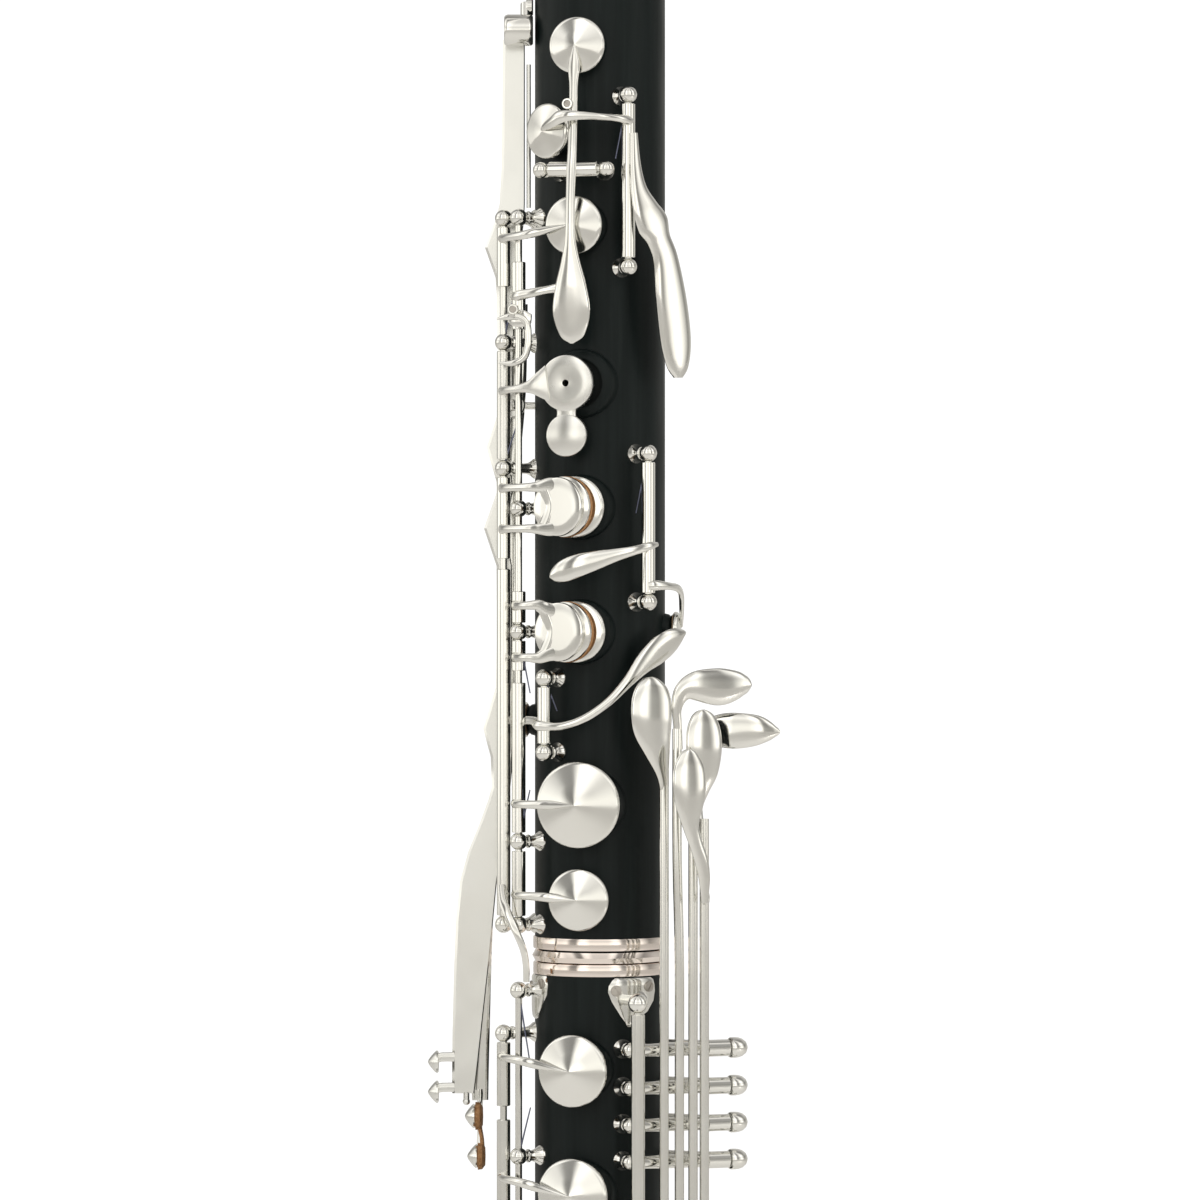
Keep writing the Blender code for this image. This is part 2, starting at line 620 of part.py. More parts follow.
def trill_lever_long():
    depth = TRILL_PIVOT[1]
    places = ((-25.0, 1034, 3.4), (-25.0, 985, 3.6), (-27.6, 973, 2.6), (-29.0, 966, 2.6), (-28.2, 940, 2.4),
              (-28.2, 920, 2.4), (-30.2, 912, 2.6), (-28.6, 900, 2.4), (-30.4, 893, 2.6), (-28.2, 880, 2.4),
              (-29.2, 846, 2.4), (-30.6, 836, 2.6), (-29.6, 822, 2.6), (-32.5, 805, 3.4), (-37.5, 785, 4.6),
              (-38.6, 765, 5.0), (-38.8, 740, 5.0), (-38.8, 726, 4.6))
    pieces = [flat_bar(places, depth, TRILL_THICK)]
    for height in (739.0, 729.6):
        pieces += [rod(side(-41, depth, height - 2), side(-46.6, depth, height - 2), 1.0),
                   rod(side(-46.4, depth, height - 2.6), side(-48.2, depth, height), 1.2),
                   button(-47.6, depth, height, 3.6)]
    pivot = side(*TRILL_PIVOT)
    hub = rod(pivot + Vector((0, 1.6, 0)), pivot - Vector((0, 1.6, 0)), 3.6, sides=14)
    key = cut(joined(pieces + [hub]), [rod(pivot + Vector((0, 4, 0)), pivot - Vector((0, 4, 0)), TUBE_BORE)])
    finish(key, "trill_lever_long", SILVER, pivot)


def trill_lever_short():
    depth = SHORT_PIVOT[1]
    places = ((-24.0, 960, 3.0), (-25.0, 930, 3.0), (-26.5, 900, 2.2), (-26.5, 850, 2.2), (-29.0, 815, 2.4),
              (-34.0, 785, 3.0), (-35.4, 745, 3.0), (-35.2, 727, 2.4))
    pieces = [flat_bar(places, depth, TRILL_THICK)]
    pieces.append(rod(side(-35.2, depth, 728), side(-35.4, depth + 3, 722), 1.3))
    pieces.append(rod(side(-35.2, depth, 728), side(-35.6, depth + 3, 711), 1.0))
    pieces += [button(-37.0, depth + 3, 721.8, 4.6), button(-36.6, depth + 3, 710.3, 4.4)]
    pivot = side(*SHORT_PIVOT)
    hub = rod(pivot + Vector((0, 1.6, 0)), pivot - Vector((0, 1.6, 0)), 3.4, sides=14)
    key = cut(joined(pieces + [hub]), [rod(pivot + Vector((0, 4, 0)), pivot - Vector((0, 4, 0)), TUBE_BORE)])
    finish(key, "trill_lever_short", SILVER, pivot)


def trill_posts():
    """A level pin that both trill levers turn on, held by a post on the left of the body."""
    x = TRILL_PIVOT[0]
    front = side(x, TRILL_PIVOT[1] + 3.4, TRILL_PIVOT[2])
    long_pin = rod(front, side(x, -16.5, TRILL_PIVOT[2]), ROD_R, sides=8)
    bracket = [rod(side(x, -7.8, 930), side(-18.2, -7.8, 930), 1.1), ball(front, 1.7, 10, 6),
               rod(side(-19.4, -8.3, 930), side(-18.2, -7.8, 930), 1.4, 2.0)]
    finish(joined([long_pin] + bracket), "trill_posts", SILVER)


def trill_guide():
    """Guide block for the upper end of the long trill lever."""
    block = rod(side(-27.9, 3.6, 1039), side(-19.5, 3.6, 1039), 4.6, sides=14)
    foot = rod(side(-21.4, 1.0, 1046), side(-19.5, 0.8, 1046), 2.6)
    finish(joined([block, rod(side(-21.6, 3.4, 1041), side(-21.6, 0.9, 1047), 1.6), foot]), "trill_guide", SILVER)


# ---------------------------------------------------------------- left little finger levers

def long_lever(number, touches):
    """A long upright bar on one level axle, with one or more touches at its top."""
    place, axle = LEVER_PLACES[number - 1], AXLE_HEIGHTS[number - 1]
    heights = (LEVER_TOPS[number - 1], 775, 735, 690, LEVER_FOOT + (4 - number) * LEVER_STEP)
    points = [rack(LEVER_OFFSET, place, z) for z in heights]
    bar = loft([(p, along(RACK_ANGLE) * 1.15, out(RACK_ANGLE) * 1.0) for p in points], sides=6)
    start, end = (rack(AXLE_OFFSET, reach, axle) for reach in LEVER_TUBE)
    strap = rod(rack(AXLE_OFFSET + 1.5, place, axle), rack(LEVER_OFFSET, place, axle), 1.15, sides=8)
    pieces = [bar, hinge_tube(start, end), strap] + touches
    key = bored(pieces, start, end)
    finish(key, f"left_little_lever_{number}", SILVER, rack(AXLE_OFFSET, 12, axle))


def rack_leaf(points, widths, thickness=0.9):
    """A touch on the rack, given by (offset, place, height) points, its face along the rack's normal."""
    centres = [rack(*point) for point in points]
    stations = []
    for i, centre in enumerate(centres):
        path = (centres[min(i + 1, len(centres) - 1)] - centres[max(i - 1, 0)]).normalized()
        across = path.cross(out(RACK_ANGLE)).normalized()
        stations.append((centre, across * widths[i], across.cross(path).normalized() * thickness))
    return loft(stations, sides=8)


def little_finger_levers():
    long_lever(1, [rack_leaf(((31, 8.3, 826), (31.2, 7.6, 832), (31.6, 6.4, 839), (31.6, 5.2, 845),
                             (31.2, 4.6, 849),
                              (31, 4.6, 850.6)), [1.1, 2.6, 5.2, 5.8, 4.0, 1.2])])
    long_lever(2, [rack_leaf(((31, 13.0, 834), (31.2, 13.2, 840), (31.6, 15.4, 845), (31.8, 20, 847.8),
                             (31.7, 25, 848.4),
                              (31.4, 30.6, 848), (31.1, 33.8, 847.4), (31, 35, 847)),
                             [1.1, 1.5, 2.6, 4.6, 5.4, 4.6, 2.6, 0.9])])
    long_lever(3, [rack_leaf(((31, 17.2, 816), (31.3, 18.2, 822), (31.8, 19.7, 829), (32, 20.0, 835),
                              (31.6, 20.2, 839.6), (31.3, 20.3, 841.4)), [1.1, 2.8, 4.9, 5.2, 3.6, 1.2])])
    low_touch = rack_leaf(((37.2, 19.5, 787), (37.6, 18.4, 794), (38.0, 16.6, 802), (38.3, 15.1, 811),
                             (38.4, 14.4, 819),
                           (38.2, 14.2, 825.4), (38.0, 14.2, 829.6)), [1.3, 1.5, 2.3, 4.2, 5.3, 4.0, 1.2])
    hook = rod(rack(37.6, 19.4, 789), rack(LEVER_OFFSET, 20.7, 789), 1.1)
    side_touch = rack_leaf(((31, 20.7, 806), (28, 21.2, 812), (25.2, 23, 822), (25.4, 26.5, 831), (27.6, 30, 834.4),
                            (29.6, 34.9, 835.2), (30.2, 40, 835.2), (30.4, 43, 834.8), (30.4, 44.2, 834.6)),
                           [1.1, 1.4, 1.5, 1.8, 3.6, 5.2, 4.6, 2.6, 0.9])
    long_lever(4, [low_touch, hook, side_touch])


# ---------------------------------------------------------------- lower joint keys

def lower_joint_keys():
    padded_key("right_vent_key", OUTER_LINE, 726.0, LOWER_OUTER_BALLS[0] - END_GAP, 740.5, HOLE_LINE, 737.6, 9.8,
               True)
    padded_key("forked_vent_key", OUTER_LINE, 690.0, 722.0, 705.4, HOLE_LINE, 701.6, 10.7, True)
    spans = ((655.0, 680.0), (617.0, 638.0), (581.0, 604.0))
    for finger, height, span in zip(("index", "middle", "ring"), PLATE_HEIGHTS, spans):
        finger_plate(f"right_{finger}_plate", INNER_LINE, (span,), (height + 6, height - 6), height)
    for number, (height, radius) in enumerate(LOW_CUPS, 1):
        low, high = height - 24, height + 24
        reach = [at(52, 27.2, height), at(40, 27.8, height), at(26, 27.2, height), at(10, 25.8, height),
                 at(-5, 24.2, height)]
        tail = [at(53, 26.4, height + 16), at(58, 27.2, height + 17), at(66, 27.6, height + 18)]
        pieces = [line_tube(LOW_LINE, low, high), arm(reach, [2.2, 2.0, 1.8, 1.5, 0.9], [1.1, 1.1, 1.0, 1.0, 0.8]),
                  arm(tail, [1.6, 1.6, 2.0], [0.9, 0.9, 0.8]), cup(-5, height, radius)]
        key = turn_open(bored_line(pieces, LOW_LINE, low, high), LOW_LINE, -OPEN_TURN)
        finish(key, f"low_note_key_{number}", SILVER, at(*LOW_LINE, height))


def right_side_key():
    """Long tube on the lower joint's right, with a cup low on the side and a touch beside the levers."""
    low, high = RIGHT_BALLS[1] + END_GAP, RIGHT_BALLS[0] - 3.3
    reach = [at(22, 31.2, 640), at(32, 28.6, 640), at(46, 25.4, 640), at(62, 23.0, 640)]
    pieces = [line_tube(RIGHT_LINE, low, high), arm(reach, [1.5, 1.4, 1.3, 0.9], [1.0, 0.9, 0.9, 0.7]),
              cup(62, 640, 6.4, seat=BODY_R + GAP + 1.2, rise=2.4, steps=20)]
    finish(bored_line(pieces, RIGHT_LINE, low, high), "right_side_key", SILVER, at(*RIGHT_LINE, 680))


# ---------------------------------------------------------------- back of the instrument

def register_key():
    """Thumb key on the back, on its own level axis."""
    angle, height, radius = BACK_LINE, 975.0, 24.5
    left, right = level_axis(angle, radius, height, 8.0)
    posts = [rod(left, right, ROD_R, sides=8)] + post(left, 2.2) + post(right, 2.2)
    finish(joined(posts), "register_posts", SILVER)
    start, end = level_axis(angle, radius, height, 5.4)
    path = [at(angle, r, z) for r, z in ((24.0, 1003), (25.6, 994), (26.6, 984), (26.8, 975), (26.2, 964),
                                         (25.4, 952))]
    leaf = [at(angle, r, z) for r, z in ((25.4, 953), (25.2, 947), (24.8, 940), (24.4, 933), (24.3, 931))]
    pieces = [spoon(path, [1.0, 1.5, 1.6, 1.8, 1.5, 1.6]), spoon(leaf, [1.8, 4.0, 4.8, 3.4, 1.2]),
              cup(angle, 1003, 4.6, rise=2.3, steps=16), hinge_tube(start, end)]
    finish(bored(pieces, start, end), "register_key", SILVER, at(angle, radius, height))


def thumb_rest():
    seat = at(BACK_LINE, BODY_R + GAP + 0.9, 640)
    base = box(seat, (13, 1.6, 24), Matrix.Rotation(math.radians(BACK_LINE), 4, "Z"))
    shelf = [at(BACK_LINE, r, z) for r, z in ((20.2, 634), (26, 634.5), (33, 636), (38, 639), (39, 640.5))]
    hook = loft([(p, along(BACK_LINE) * 6.2, Vector((0, 0, 1.2))) for p in shelf], sides=8)
    finish(joined([base, hook]), "thumb_rest", SILVER)


def strap_ring():
    base = rod(at(BACK_LINE, BODY_R + GAP, STRAP_Z), at(BACK_LINE, BODY_R + GAP + 2.2, STRAP_Z), 5.0, sides=16)
    place = aligned(at(BACK_LINE, BODY_R + 10.4, STRAP_Z), along(BACK_LINE))
    loop = turned([(6.5 + 1.6 * math.cos(a), 1.6 * math.sin(a)) for a in
                   [-2 * math.pi * i / 6 for i in range(6)]], place, 16, closed=True)
    finish(joined([base, loop]), "strap_ring", SILVER)


# ---------------------------------------------------------------- neck, mouthpiece, bell and peg

def plane_point(y, z):
    return Vector((0, y, z))


def neck_path():
    """Centre line of the neck: up, round to the back and out, as (point, direction) pairs."""
    start = TOP + NECK_RISE
    path = [(plane_point(0, TOP - 14), Vector((0, 0, 1))), (plane_point(0, start), Vector((0, 0, 1)))]
    steps = 6
    for i in range(1, steps + 1):
        a = math.radians(NECK_TURN) * i / steps
        path.append((plane_point(NECK_BEND * (1 - math.cos(a)), start + NECK_BEND * math.sin(a)),
                     Vector((0, math.sin(a), math.cos(a)))))
    last, way = path[-1]
    path.append((last + way * NECK_RUN, way))
    return path


def pipe(path, radii, sides=12):
    """Closed solid of round sections across a path in the symmetry plane."""
    stations = []
    for (point, way), radius in zip(path, radii):
        stations.append((point, Vector((radius, 0, 0)), way.cross(Vector((1, 0, 0))) * radius))
    return loft(stations, sides)


def neck():
    path = neck_path()
    radii = [NECK_R] * len(path)
    shell = pipe(path, radii)
    tenon = rod(plane_point(0, TOP - 14), plane_point(0, TOP + 2), BORE_R - GAP - 0.4, sides=16)
    collar = turned([(13.6, TOP + 9), (14.2, TOP + 8), (14.2, TOP + 0.8), (13.6, TOP + GAP), (9.0, TOP + GAP),
                     (9.0, TOP + 9)], steps=20, closed=True)
    last, way = path[-1]
    cuff = rod(last - way * 28, last - way * 17, NECK_R + 0.9, sides=16)
    hole_path = [(path[0][0] - path[0][1], path[0][1])] + path[1:-1] + [(last + way, way)]
    hole = pipe(hole_path, [NECK_R - 1.3] * len(hole_path))
    finish(cut(joined([shell, tenon, collar, cuff]), [hole]), "neck", SILVER, keywork=False)


def mouth_frame():
    """Matrix at the neck's end: Z runs out along the mouthpiece, and -Y faces down, where the reed lies."""
    last, way = neck_path()[-1]
    return aligned(last, way, Vector((-1, 0, 0)))


def mouthpiece():
    place = mouth_frame()
    barrel = turned([(NECK_R + GAP, 40), (13.6, 40), (14.4, 30), (14.4, 4), (13.6, 2), (NECK_R + GAP, 2)],
                    steps=18, closed=True)
    barrel.data.transform(place @ Matrix.Translation((0, 0, -16)))
    length = MOUTHPIECE_LENGTH
    stations = []
    for z, half_x, up, down in ((22, 13.4, 13.4, 13.4), (48, 13.0, 13.0, 12.0), (60, 11.6, 11.0, 10.6),
                                (78, 9.6, 5.0, 9.6), (length, 8.2, -5.6, 8.2)):
        centre = (up - down) / 2
        stations.append((Vector((0, centre, z)), Vector((half_x, 0, 0)), Vector((0, (up + down) / 2, 0))))
    beak = loft(stations, 14)
    beak.data.transform(place)
    bore = rod(place @ Vector((0, 0, -20)), place @ Vector((0, 0, 52)), 7.6, sides=16)
    socket = rod(place @ Vector((0, 0, -20)), place @ Vector((0, 0, 3)), NECK_R + GAP, sides=20)
    table = box(place @ Vector((0, -15.4, 60)), (40, 12, 76), place.to_3x3().to_4x4())
    window = box(place @ Vector((0, -7.0, 63)), (11.0, 8.0, 38), place.to_3x3().to_4x4())
    body = cut(joined([barrel, beak]), [bore, socket, table, window])
    finish(body, "mouthpiece", RUBBER, keywork=False)


def reed():
    place = mouth_frame()
    stations = []
    for z, half_x, half_y in ((27, 7.2, 1.5), (60, 7.4, 1.45), (78, 7.6, 0.8), (90, 7.6, 0.25)):
        stations.append((Vector((0, -9.4 - GAP - half_y, z)), Vector((half_x, 0, 0)), Vector((0, half_y, 0))))
    blade = loft(stations, 12)
    blade.data.transform(place)
    finish(blade, "reed", CANE, keywork=False)


def ligature():
    place = mouth_frame()
    band = turned([(16.2, 50), (16.2, 28), (15.4, 28), (15.4, 50)], steps=20, closed=True)
    lugs = [box(Vector((x, -17.4, z)), (2.0, 5.0, 5.0)) for x in (-4.2, 4.2) for _, z in LIGATURE_SCREWS]
    body = joined([band] + lugs)
    slit = box(Vector((0, -17, 39)), (1.0, 8, 30))
    drills = [rod(Vector((-9, LIGATURE_AXIS, z)), Vector((9, LIGATURE_AXIS, z)), 1.3) for _, z in LIGATURE_SCREWS]
    body = cut(body, [slit] + drills)
    body.data.transform(place)
    finish(body, "ligature", SILVER, keywork=False)
    for name, z in LIGATURE_SCREWS:
        shaft = rod(Vector((-6.5, LIGATURE_AXIS, z)), Vector((7, LIGATURE_AXIS, z)), 1.0, sides=8)
        head = rod(Vector((6.4, LIGATURE_AXIS, z)), Vector((11.2, LIGATURE_AXIS, z)), 2.2)
        wing = turned([(0, 1.0), (4.0, 1.0), (4.4, 0.6), (4.4, -0.6), (4.0, -1.0), (0, -1.0)], None, 12)
        wing.data.transform(Matrix.Translation((14.4, LIGATURE_AXIS, z)) @ Matrix.Rotation(math.pi / 2, 4, "X"))
        screw = joined([shaft, head, wing])
        screw.data.transform(place)
        finish(screw, name, SILVER, place @ Vector((0, LIGATURE_AXIS, z)), keywork=False)


def bell_path():
    """Centre line of the bow and bell with its outer radius, from the wood down, round and up."""
    down = Vector((0, 0, -1))
    places = [(plane_point(0, FOOT - GAP), down, 15.6), (plane_point(0, BOW_TOP), down, 15.8)]
    steps = 7
    for i in range(1, steps):
        a = math.pi * i / steps
        point = plane_point(-BOW_R * (1 - math.cos(a)), BOW_TOP - BOW_R * math.sin(a))
        places.append((point, Vector((0, -math.sin(a), -math.cos(a))), 15.8 + 4.5 * i / steps))
    rise = BELL_MOUTH_Z - BOW_TOP
    flare = ((0, 20.4), (0.3, 23.6), (0.55, 29.0), (0.75, 38.0), (0.9, 52.5), (0.98, 67.0), (1.0, 72.0))
    for share, radius in flare:
        places.append((plane_point(-2 * BOW_R, BOW_TOP + rise * share), Vector((0, 0, 1)), radius))
    return places


def bell():
    sections = bell_path()
    path = [(p, way) for p, way, _ in sections]
    shell = pipe(path, [r for _, _, r in sections], 14)
    rim = turned([(72.4, 1.4), (73.4, 0), (72.4, -1.4), (70.6, -1.4), (70.6, 1.4)],
                 Matrix.Translation((0, -2 * BOW_R, BELL_MOUTH_Z - 1.2)), 16, closed=True)
    collar = turned([(RING_R - 0.4, FOOT + 7.6), (RING_R, FOOT + 7.2), (RING_R, FOOT - 11), (RING_R - 1, FOOT - 12),
                     (14.0, FOOT - 12), (14.0, FOOT - GAP), (SEAT_R + GAP, FOOT - GAP), (SEAT_R + GAP, FOOT + 7.6)],
                    None, 24, closed=True)
    socket = rod(plane_point(PEG_Y, SOCKET_LOW), plane_point(PEG_Y, 152), 7.5, sides=16)
    lug = rod(plane_point(PEG_Y + 5, SCREW_Z), plane_point(PEG_Y + 12, SCREW_Z), 4.2, sides=12)
    (first, first_way), (last, last_way) = path[0], path[-1]
    hollow_path = [(first - first_way * 2, first_way)] + path[1:-1] + [(last + last_way, last_way)]
    hollow = pipe(hollow_path, [r - BELL_WALL for _, _, r in sections], 14)
    peg_bore = rod(plane_point(PEG_Y, SOCKET_LOW - 2), plane_point(PEG_Y, PEG_TOP + 1.0), PEG_R + GAP, sides=14)
    screw_bore = rod(plane_point(PEG_Y + 2, SCREW_Z), plane_point(PEG_Y + 14, SCREW_Z), 2.0 + GAP, sides=12)
    body = cut(joined([shell, collar, rim, socket, lug]), [hollow, peg_bore, screw_bore])
    finish(body, "bell", SILVER, keywork=False)


def floor_peg():
    rod_piece = rod(plane_point(PEG_Y, 6), plane_point(PEG_Y, PEG_TOP - 1.0), PEG_R, sides=14)
    tip = turned([(0, 26), (5.0, 26), (6.0, 24), (9.0, 8), (9.2, 2.0), (8.4, 0), (0, 0)],
                 Matrix.Translation((0, PEG_Y, 0)), 20)
    finish(joined([rod_piece, tip]), "floor_peg", PEG_STEEL, keywork=False)


def peg_screw():
    y = PEG_Y + PEG_R + GAP
    shaft = rod(plane_point(y, SCREW_Z), plane_point(y + 16, SCREW_Z), 2.0, sides=12)
    place = aligned(plane_point(y + 19, SCREW_Z), Vector((1, 0, 0)))
    wing = turned([(0, 1.3), (6.4, 1.3), (7.0, 0.7), (7.0, -0.7), (6.4, -1.3), (0, -1.3)], place, 14)
    finish(joined([shaft, wing]), "peg_screw", SILVER, plane_point(y, SCREW_Z), keywork=False)


# ---------------------------------------------------------------- build

def build():
    upper_joint()
    lower_joint()
    ring("upper_joint_ring", SEAM_TOP - GAP, SEAM_MID + GAP)
    ring("socket_ring", SEAM_MID, SEAM_LOW + GAP, groove=True)
    a_key_posts()
    finish(post_set(G_LINE, G_BALLS), "g_sharp_posts", SILVER)
    finish(post_set(OUTER_LINE, OUTER_BALLS, OUTER_FEET), "outer_line_posts", SILVER)
    finish(post_set(INNER_LINE, INNER_BALLS), "inner_line_posts", SILVER)
    finish(post_set(SLIVER_LINE, SLIVER_BALLS), "sliver_posts", SILVER)
    finish(post_set(C_LINE, C_BALLS), "c_sharp_posts", SILVER)
    finish(post_set(OUTER_LINE, LOWER_OUTER_BALLS, OUTER_FEET), "lower_outer_posts", SILVER)
    finish(post_set(INNER_LINE, LOWER_INNER_BALLS), "lower_inner_posts", SILVER)
    finish(post_set(LOW_LINE, LOW_BALLS), "low_line_posts", SILVER)
    lower_right_posts()
    lever_axles()
    throat_a_key()
    throat_g_sharp_key()
    padded_key("vent_key", OUTER_LINE, 964.0, OUTER_BALLS[0] - END_GAP, 978.0, HOLE_LINE, 981.0, 8.35)
    linkage_key()
    left_index_plate()
    finger_plate("left_middle_plate", OUTER_LINE, ((885.0, OUTER_BALLS[2] - END_GAP),), (905.5, 893.6), 899.8)
    finger_plate("left_ring_plate", INNER_LINE, ((866.4, 875.5), (852.5, 861.2)), (871.4, 856.4), 863.8)
    sliver_key()
    c_sharp_key()
    padded_key("large_vent_key", INNER_LINE, INNER_BALLS[3] + END_GAP, 849.0, 814.0, -13, 814.0, 11.8, True)
    padded_key("small_vent_key", INNER_LINE, INNER_BALLS[4] + END_GAP, 800.2, 787.6, -16, 786.6, 8.5)
    bridge_key()
    trill_lever_long()
    trill_lever_short()
    trill_posts()
    trill_guide()
    little_finger_levers()
    lower_joint_keys()
    right_side_key()
    register_key()
    thumb_rest()
    strap_ring()
    neck()
    mouthpiece()
    reed()
    ligature()
    bell()
    floor_peg()
    peg_screw()


build()
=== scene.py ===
"""Bass clarinet, the visual model: fine keywork, wood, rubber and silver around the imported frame.

Lengths are in millimetres until a piece is finished. The keywork is laid out in axes turned KEY_TURN about
the bore: +X to the right, -Y outwards, +Z up. A place is an angle round the bore, 0 being outwards, a radius
and a height. A hinge line is the angle and radius it runs at, and its posts stand at the heights given.
"""

import math

import bmesh
import bpy
from mathutils import Matrix, Vector


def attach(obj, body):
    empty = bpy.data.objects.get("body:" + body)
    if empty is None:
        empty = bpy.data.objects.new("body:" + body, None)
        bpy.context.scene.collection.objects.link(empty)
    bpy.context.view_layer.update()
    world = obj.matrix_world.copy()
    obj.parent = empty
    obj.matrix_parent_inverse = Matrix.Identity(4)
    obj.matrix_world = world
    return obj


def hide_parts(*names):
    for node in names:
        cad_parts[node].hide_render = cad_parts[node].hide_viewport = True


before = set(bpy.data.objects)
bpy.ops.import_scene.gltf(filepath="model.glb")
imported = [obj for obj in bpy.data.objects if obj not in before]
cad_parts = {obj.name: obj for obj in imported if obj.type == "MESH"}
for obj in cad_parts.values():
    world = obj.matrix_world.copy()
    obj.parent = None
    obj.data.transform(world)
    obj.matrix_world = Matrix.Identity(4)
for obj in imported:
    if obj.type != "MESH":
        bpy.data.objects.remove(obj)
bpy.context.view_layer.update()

MM = 0.001
BORE_BACK = 27.0
KEY_TURN = 17.0
BODY_R = 19.0
BORE_R = 11.8
SEAT_R = 17.6
TENON_R, TENON_END = 14.4, 746.0
SOCKET_R, SOCKET_END = 14.7, 745.0
ROD_R = 1.0
CHIMNEY_TOP = 21.3
PAD_SEAT = 21.6
HOLE_LINE = -17.0
BACK = 163.0
A_AXLE = (HOLE_LINE, 26.0, 996.8)
REGISTER_AXLE = (BACK, 24.5, 975.0)
TUBE_R = 2.0
BALL_R = 2.55
END_GAP = 2.6
OUTER_LINE = (-75.0, 29.0)
INNER_LINE = (-65.0, 26.0)
OUTER_FEET = -84.5
G_LINE = (19.0, 25.0)
SLIVER_LINE = (33.0, 25.5)
C_LINE = (-40.0, 25.0)
RIGHT_LINE = (21.3, 30.0)
LOW_LINE = (52.0, 25.0)
OUTER_POSTS = (983.9, 947.9, 911.3, 778.8)
INNER_POSTS = (983.9, 899.5, 863.8, 803.0, 778.8)
LOWER_OUTER_POSTS = (747.1, 560.0)
LOWER_INNER_POSTS = (759.8, 711.7, 642.0, 570.0)
G_POSTS = (1018.4, 968.9)
SLIVER_POSTS = (915.3, 872.4)
C_POSTS = (850.5, 829.0)
RIGHT_POSTS = (757.2, 600.0)
LOW_POSTS = (560.0, 495.0, 425.0, 355.0)
OPEN_TURN = -5.0
RACK_ANGLE = 20.0
AXLE_OFFSET = 25.5
LEVER_OFFSET = 31.0
AXLE_HEIGHTS = (743.4, 732.5, 721.8, 711.1)
LEVER_PLACES = (8.3, 13.0, 17.2, 20.7)
TOP = 1115.0
SEAM_TOP = 775.2
SEAM_MID = 771.4
SEAM_LOW = 764.1
FOOT = 250.0
PEG_Y = -BORE_BACK
PEG_R = 4.0
SOCKET_LOW = 100.0
SCREW_Z = 112.0

STAGE = bpy.data.collections.new("pieces")
bpy.context.scene.collection.children.link(STAGE)


# ---------------------------------------------------------------- materials

def wired(tree, kind, inputs, **settings):
    """A new node with its settings, its inputs given as values or as the outputs that feed them."""
    node = tree.nodes.new("ShaderNode" + kind)
    for name, value in settings.items():
        setattr(node, name, value)
    for socket, value in inputs.items():
        if isinstance(value, bpy.types.NodeSocket):
            tree.links.new(value, node.inputs[socket])
        else:
            node.inputs[socket].default_value = value
    return node


def colour_ramp(tree, fac, stops):
    made = wired(tree, "ValToRGB", {"Fac": fac})
    elements = made.color_ramp.elements
    while len(elements) < len(stops):
        elements.new(0.5)
    for element, (place, colour) in zip(elements, stops):
        element.position = place
        element.color = (*colour, 1)
    return made.outputs["Color"]


class Look:
    """A Principled material and the nodes that feed it, in object coordinates."""

    def __init__(self, name, colour, rough, metal=0.0, **sockets):
        self.made = bpy.data.materials.new(name)
        self.made.use_nodes = True
        self.tree = self.made.node_tree
        self.shader = self.tree.nodes["Principled BSDF"]
        self.set("Base Color", (*colour, 1))
        self.set("Roughness", rough)
        self.set("Metallic", metal)
        for socket, value in sockets.items():
            self.set(socket.replace("_", " "), value)
        self.coords = self.tree.nodes.new("ShaderNodeTexCoord").outputs["Object"]

    def set(self, socket, value):
        self.shader.inputs[socket].default_value = value

    def link(self, output, socket):
        self.tree.links.new(output, socket)

    def feed(self, socket, output):
        self.link(output, self.shader.inputs[socket])

    def noise(self, scale, detail=3.0, stretch=(1, 1, 1), rough=0.5):
        mapping = wired(self.tree, "Mapping", {"Scale": stretch, "Vector": self.coords})
        return wired(self.tree, "TexNoise", {"Scale": scale, "Detail": detail, "Roughness": rough,
            "Vector": mapping.outputs["Vector"]}).outputs["Fac"]

    def ramp(self, fac, stops):
        return colour_ramp(self.tree, fac, stops)

    def spread(self, fac, low, high):
        return wired(self.tree, "MapRange", {"From Min": 0.3, "From Max": 0.7, "To Min": low, "To Max": high,
            "Value": fac}).outputs["Result"]

    def bump(self, fac, strength, distance):
        made = wired(self.tree, "Bump", {"Strength": strength, "Distance": distance, "Height": fac})
        self.feed("Normal", made.outputs["Normal"])


def silver(name, bright, shade, rough):
    """Polished plate, faintly cloudy, with fine polish marks."""
    look = Look(name, bright, rough, 1.0)
    look.feed("Base Color", look.ramp(look.noise(60, 2), ((0.25, shade), (0.7, bright))))
    look.feed("Roughness", look.spread(look.noise(120, 2), rough * 0.85, rough * 1.2))
    look.bump(look.noise(700, 1), 0.02, 0.00001)
    return look.made


def blackwood():
    look = Look("blackwood", (0.007, 0.009, 0.009), 0.42, Specular_IOR_Level=0.17)
    grain = look.noise(420, 6, (1, 1, 0.045), 0.62)
    look.feed("Base Color", look.ramp(grain, ((0.32, (0.0030, 0.0055, 0.0053)),
        (0.6, (0.0055, 0.0090, 0.0088)), (0.8, (0.011, 0.0145, 0.014)))))
    look.feed("Roughness", look.spread(look.noise(160, 3, (1, 1, 0.2)), 0.36, 0.52))
    look.bump(grain, 0.16, 0.00006)
    return look.made


def hard_rubber():
    look = Look("hard_rubber", (0.011, 0.011, 0.012), 0.2, Specular_IOR_Level=0.5)
    look.feed("Roughness", look.spread(look.noise(300, 4), 0.16, 0.3))
    look.bump(look.noise(1500, 2), 0.03, 0.00002)
    return look.made


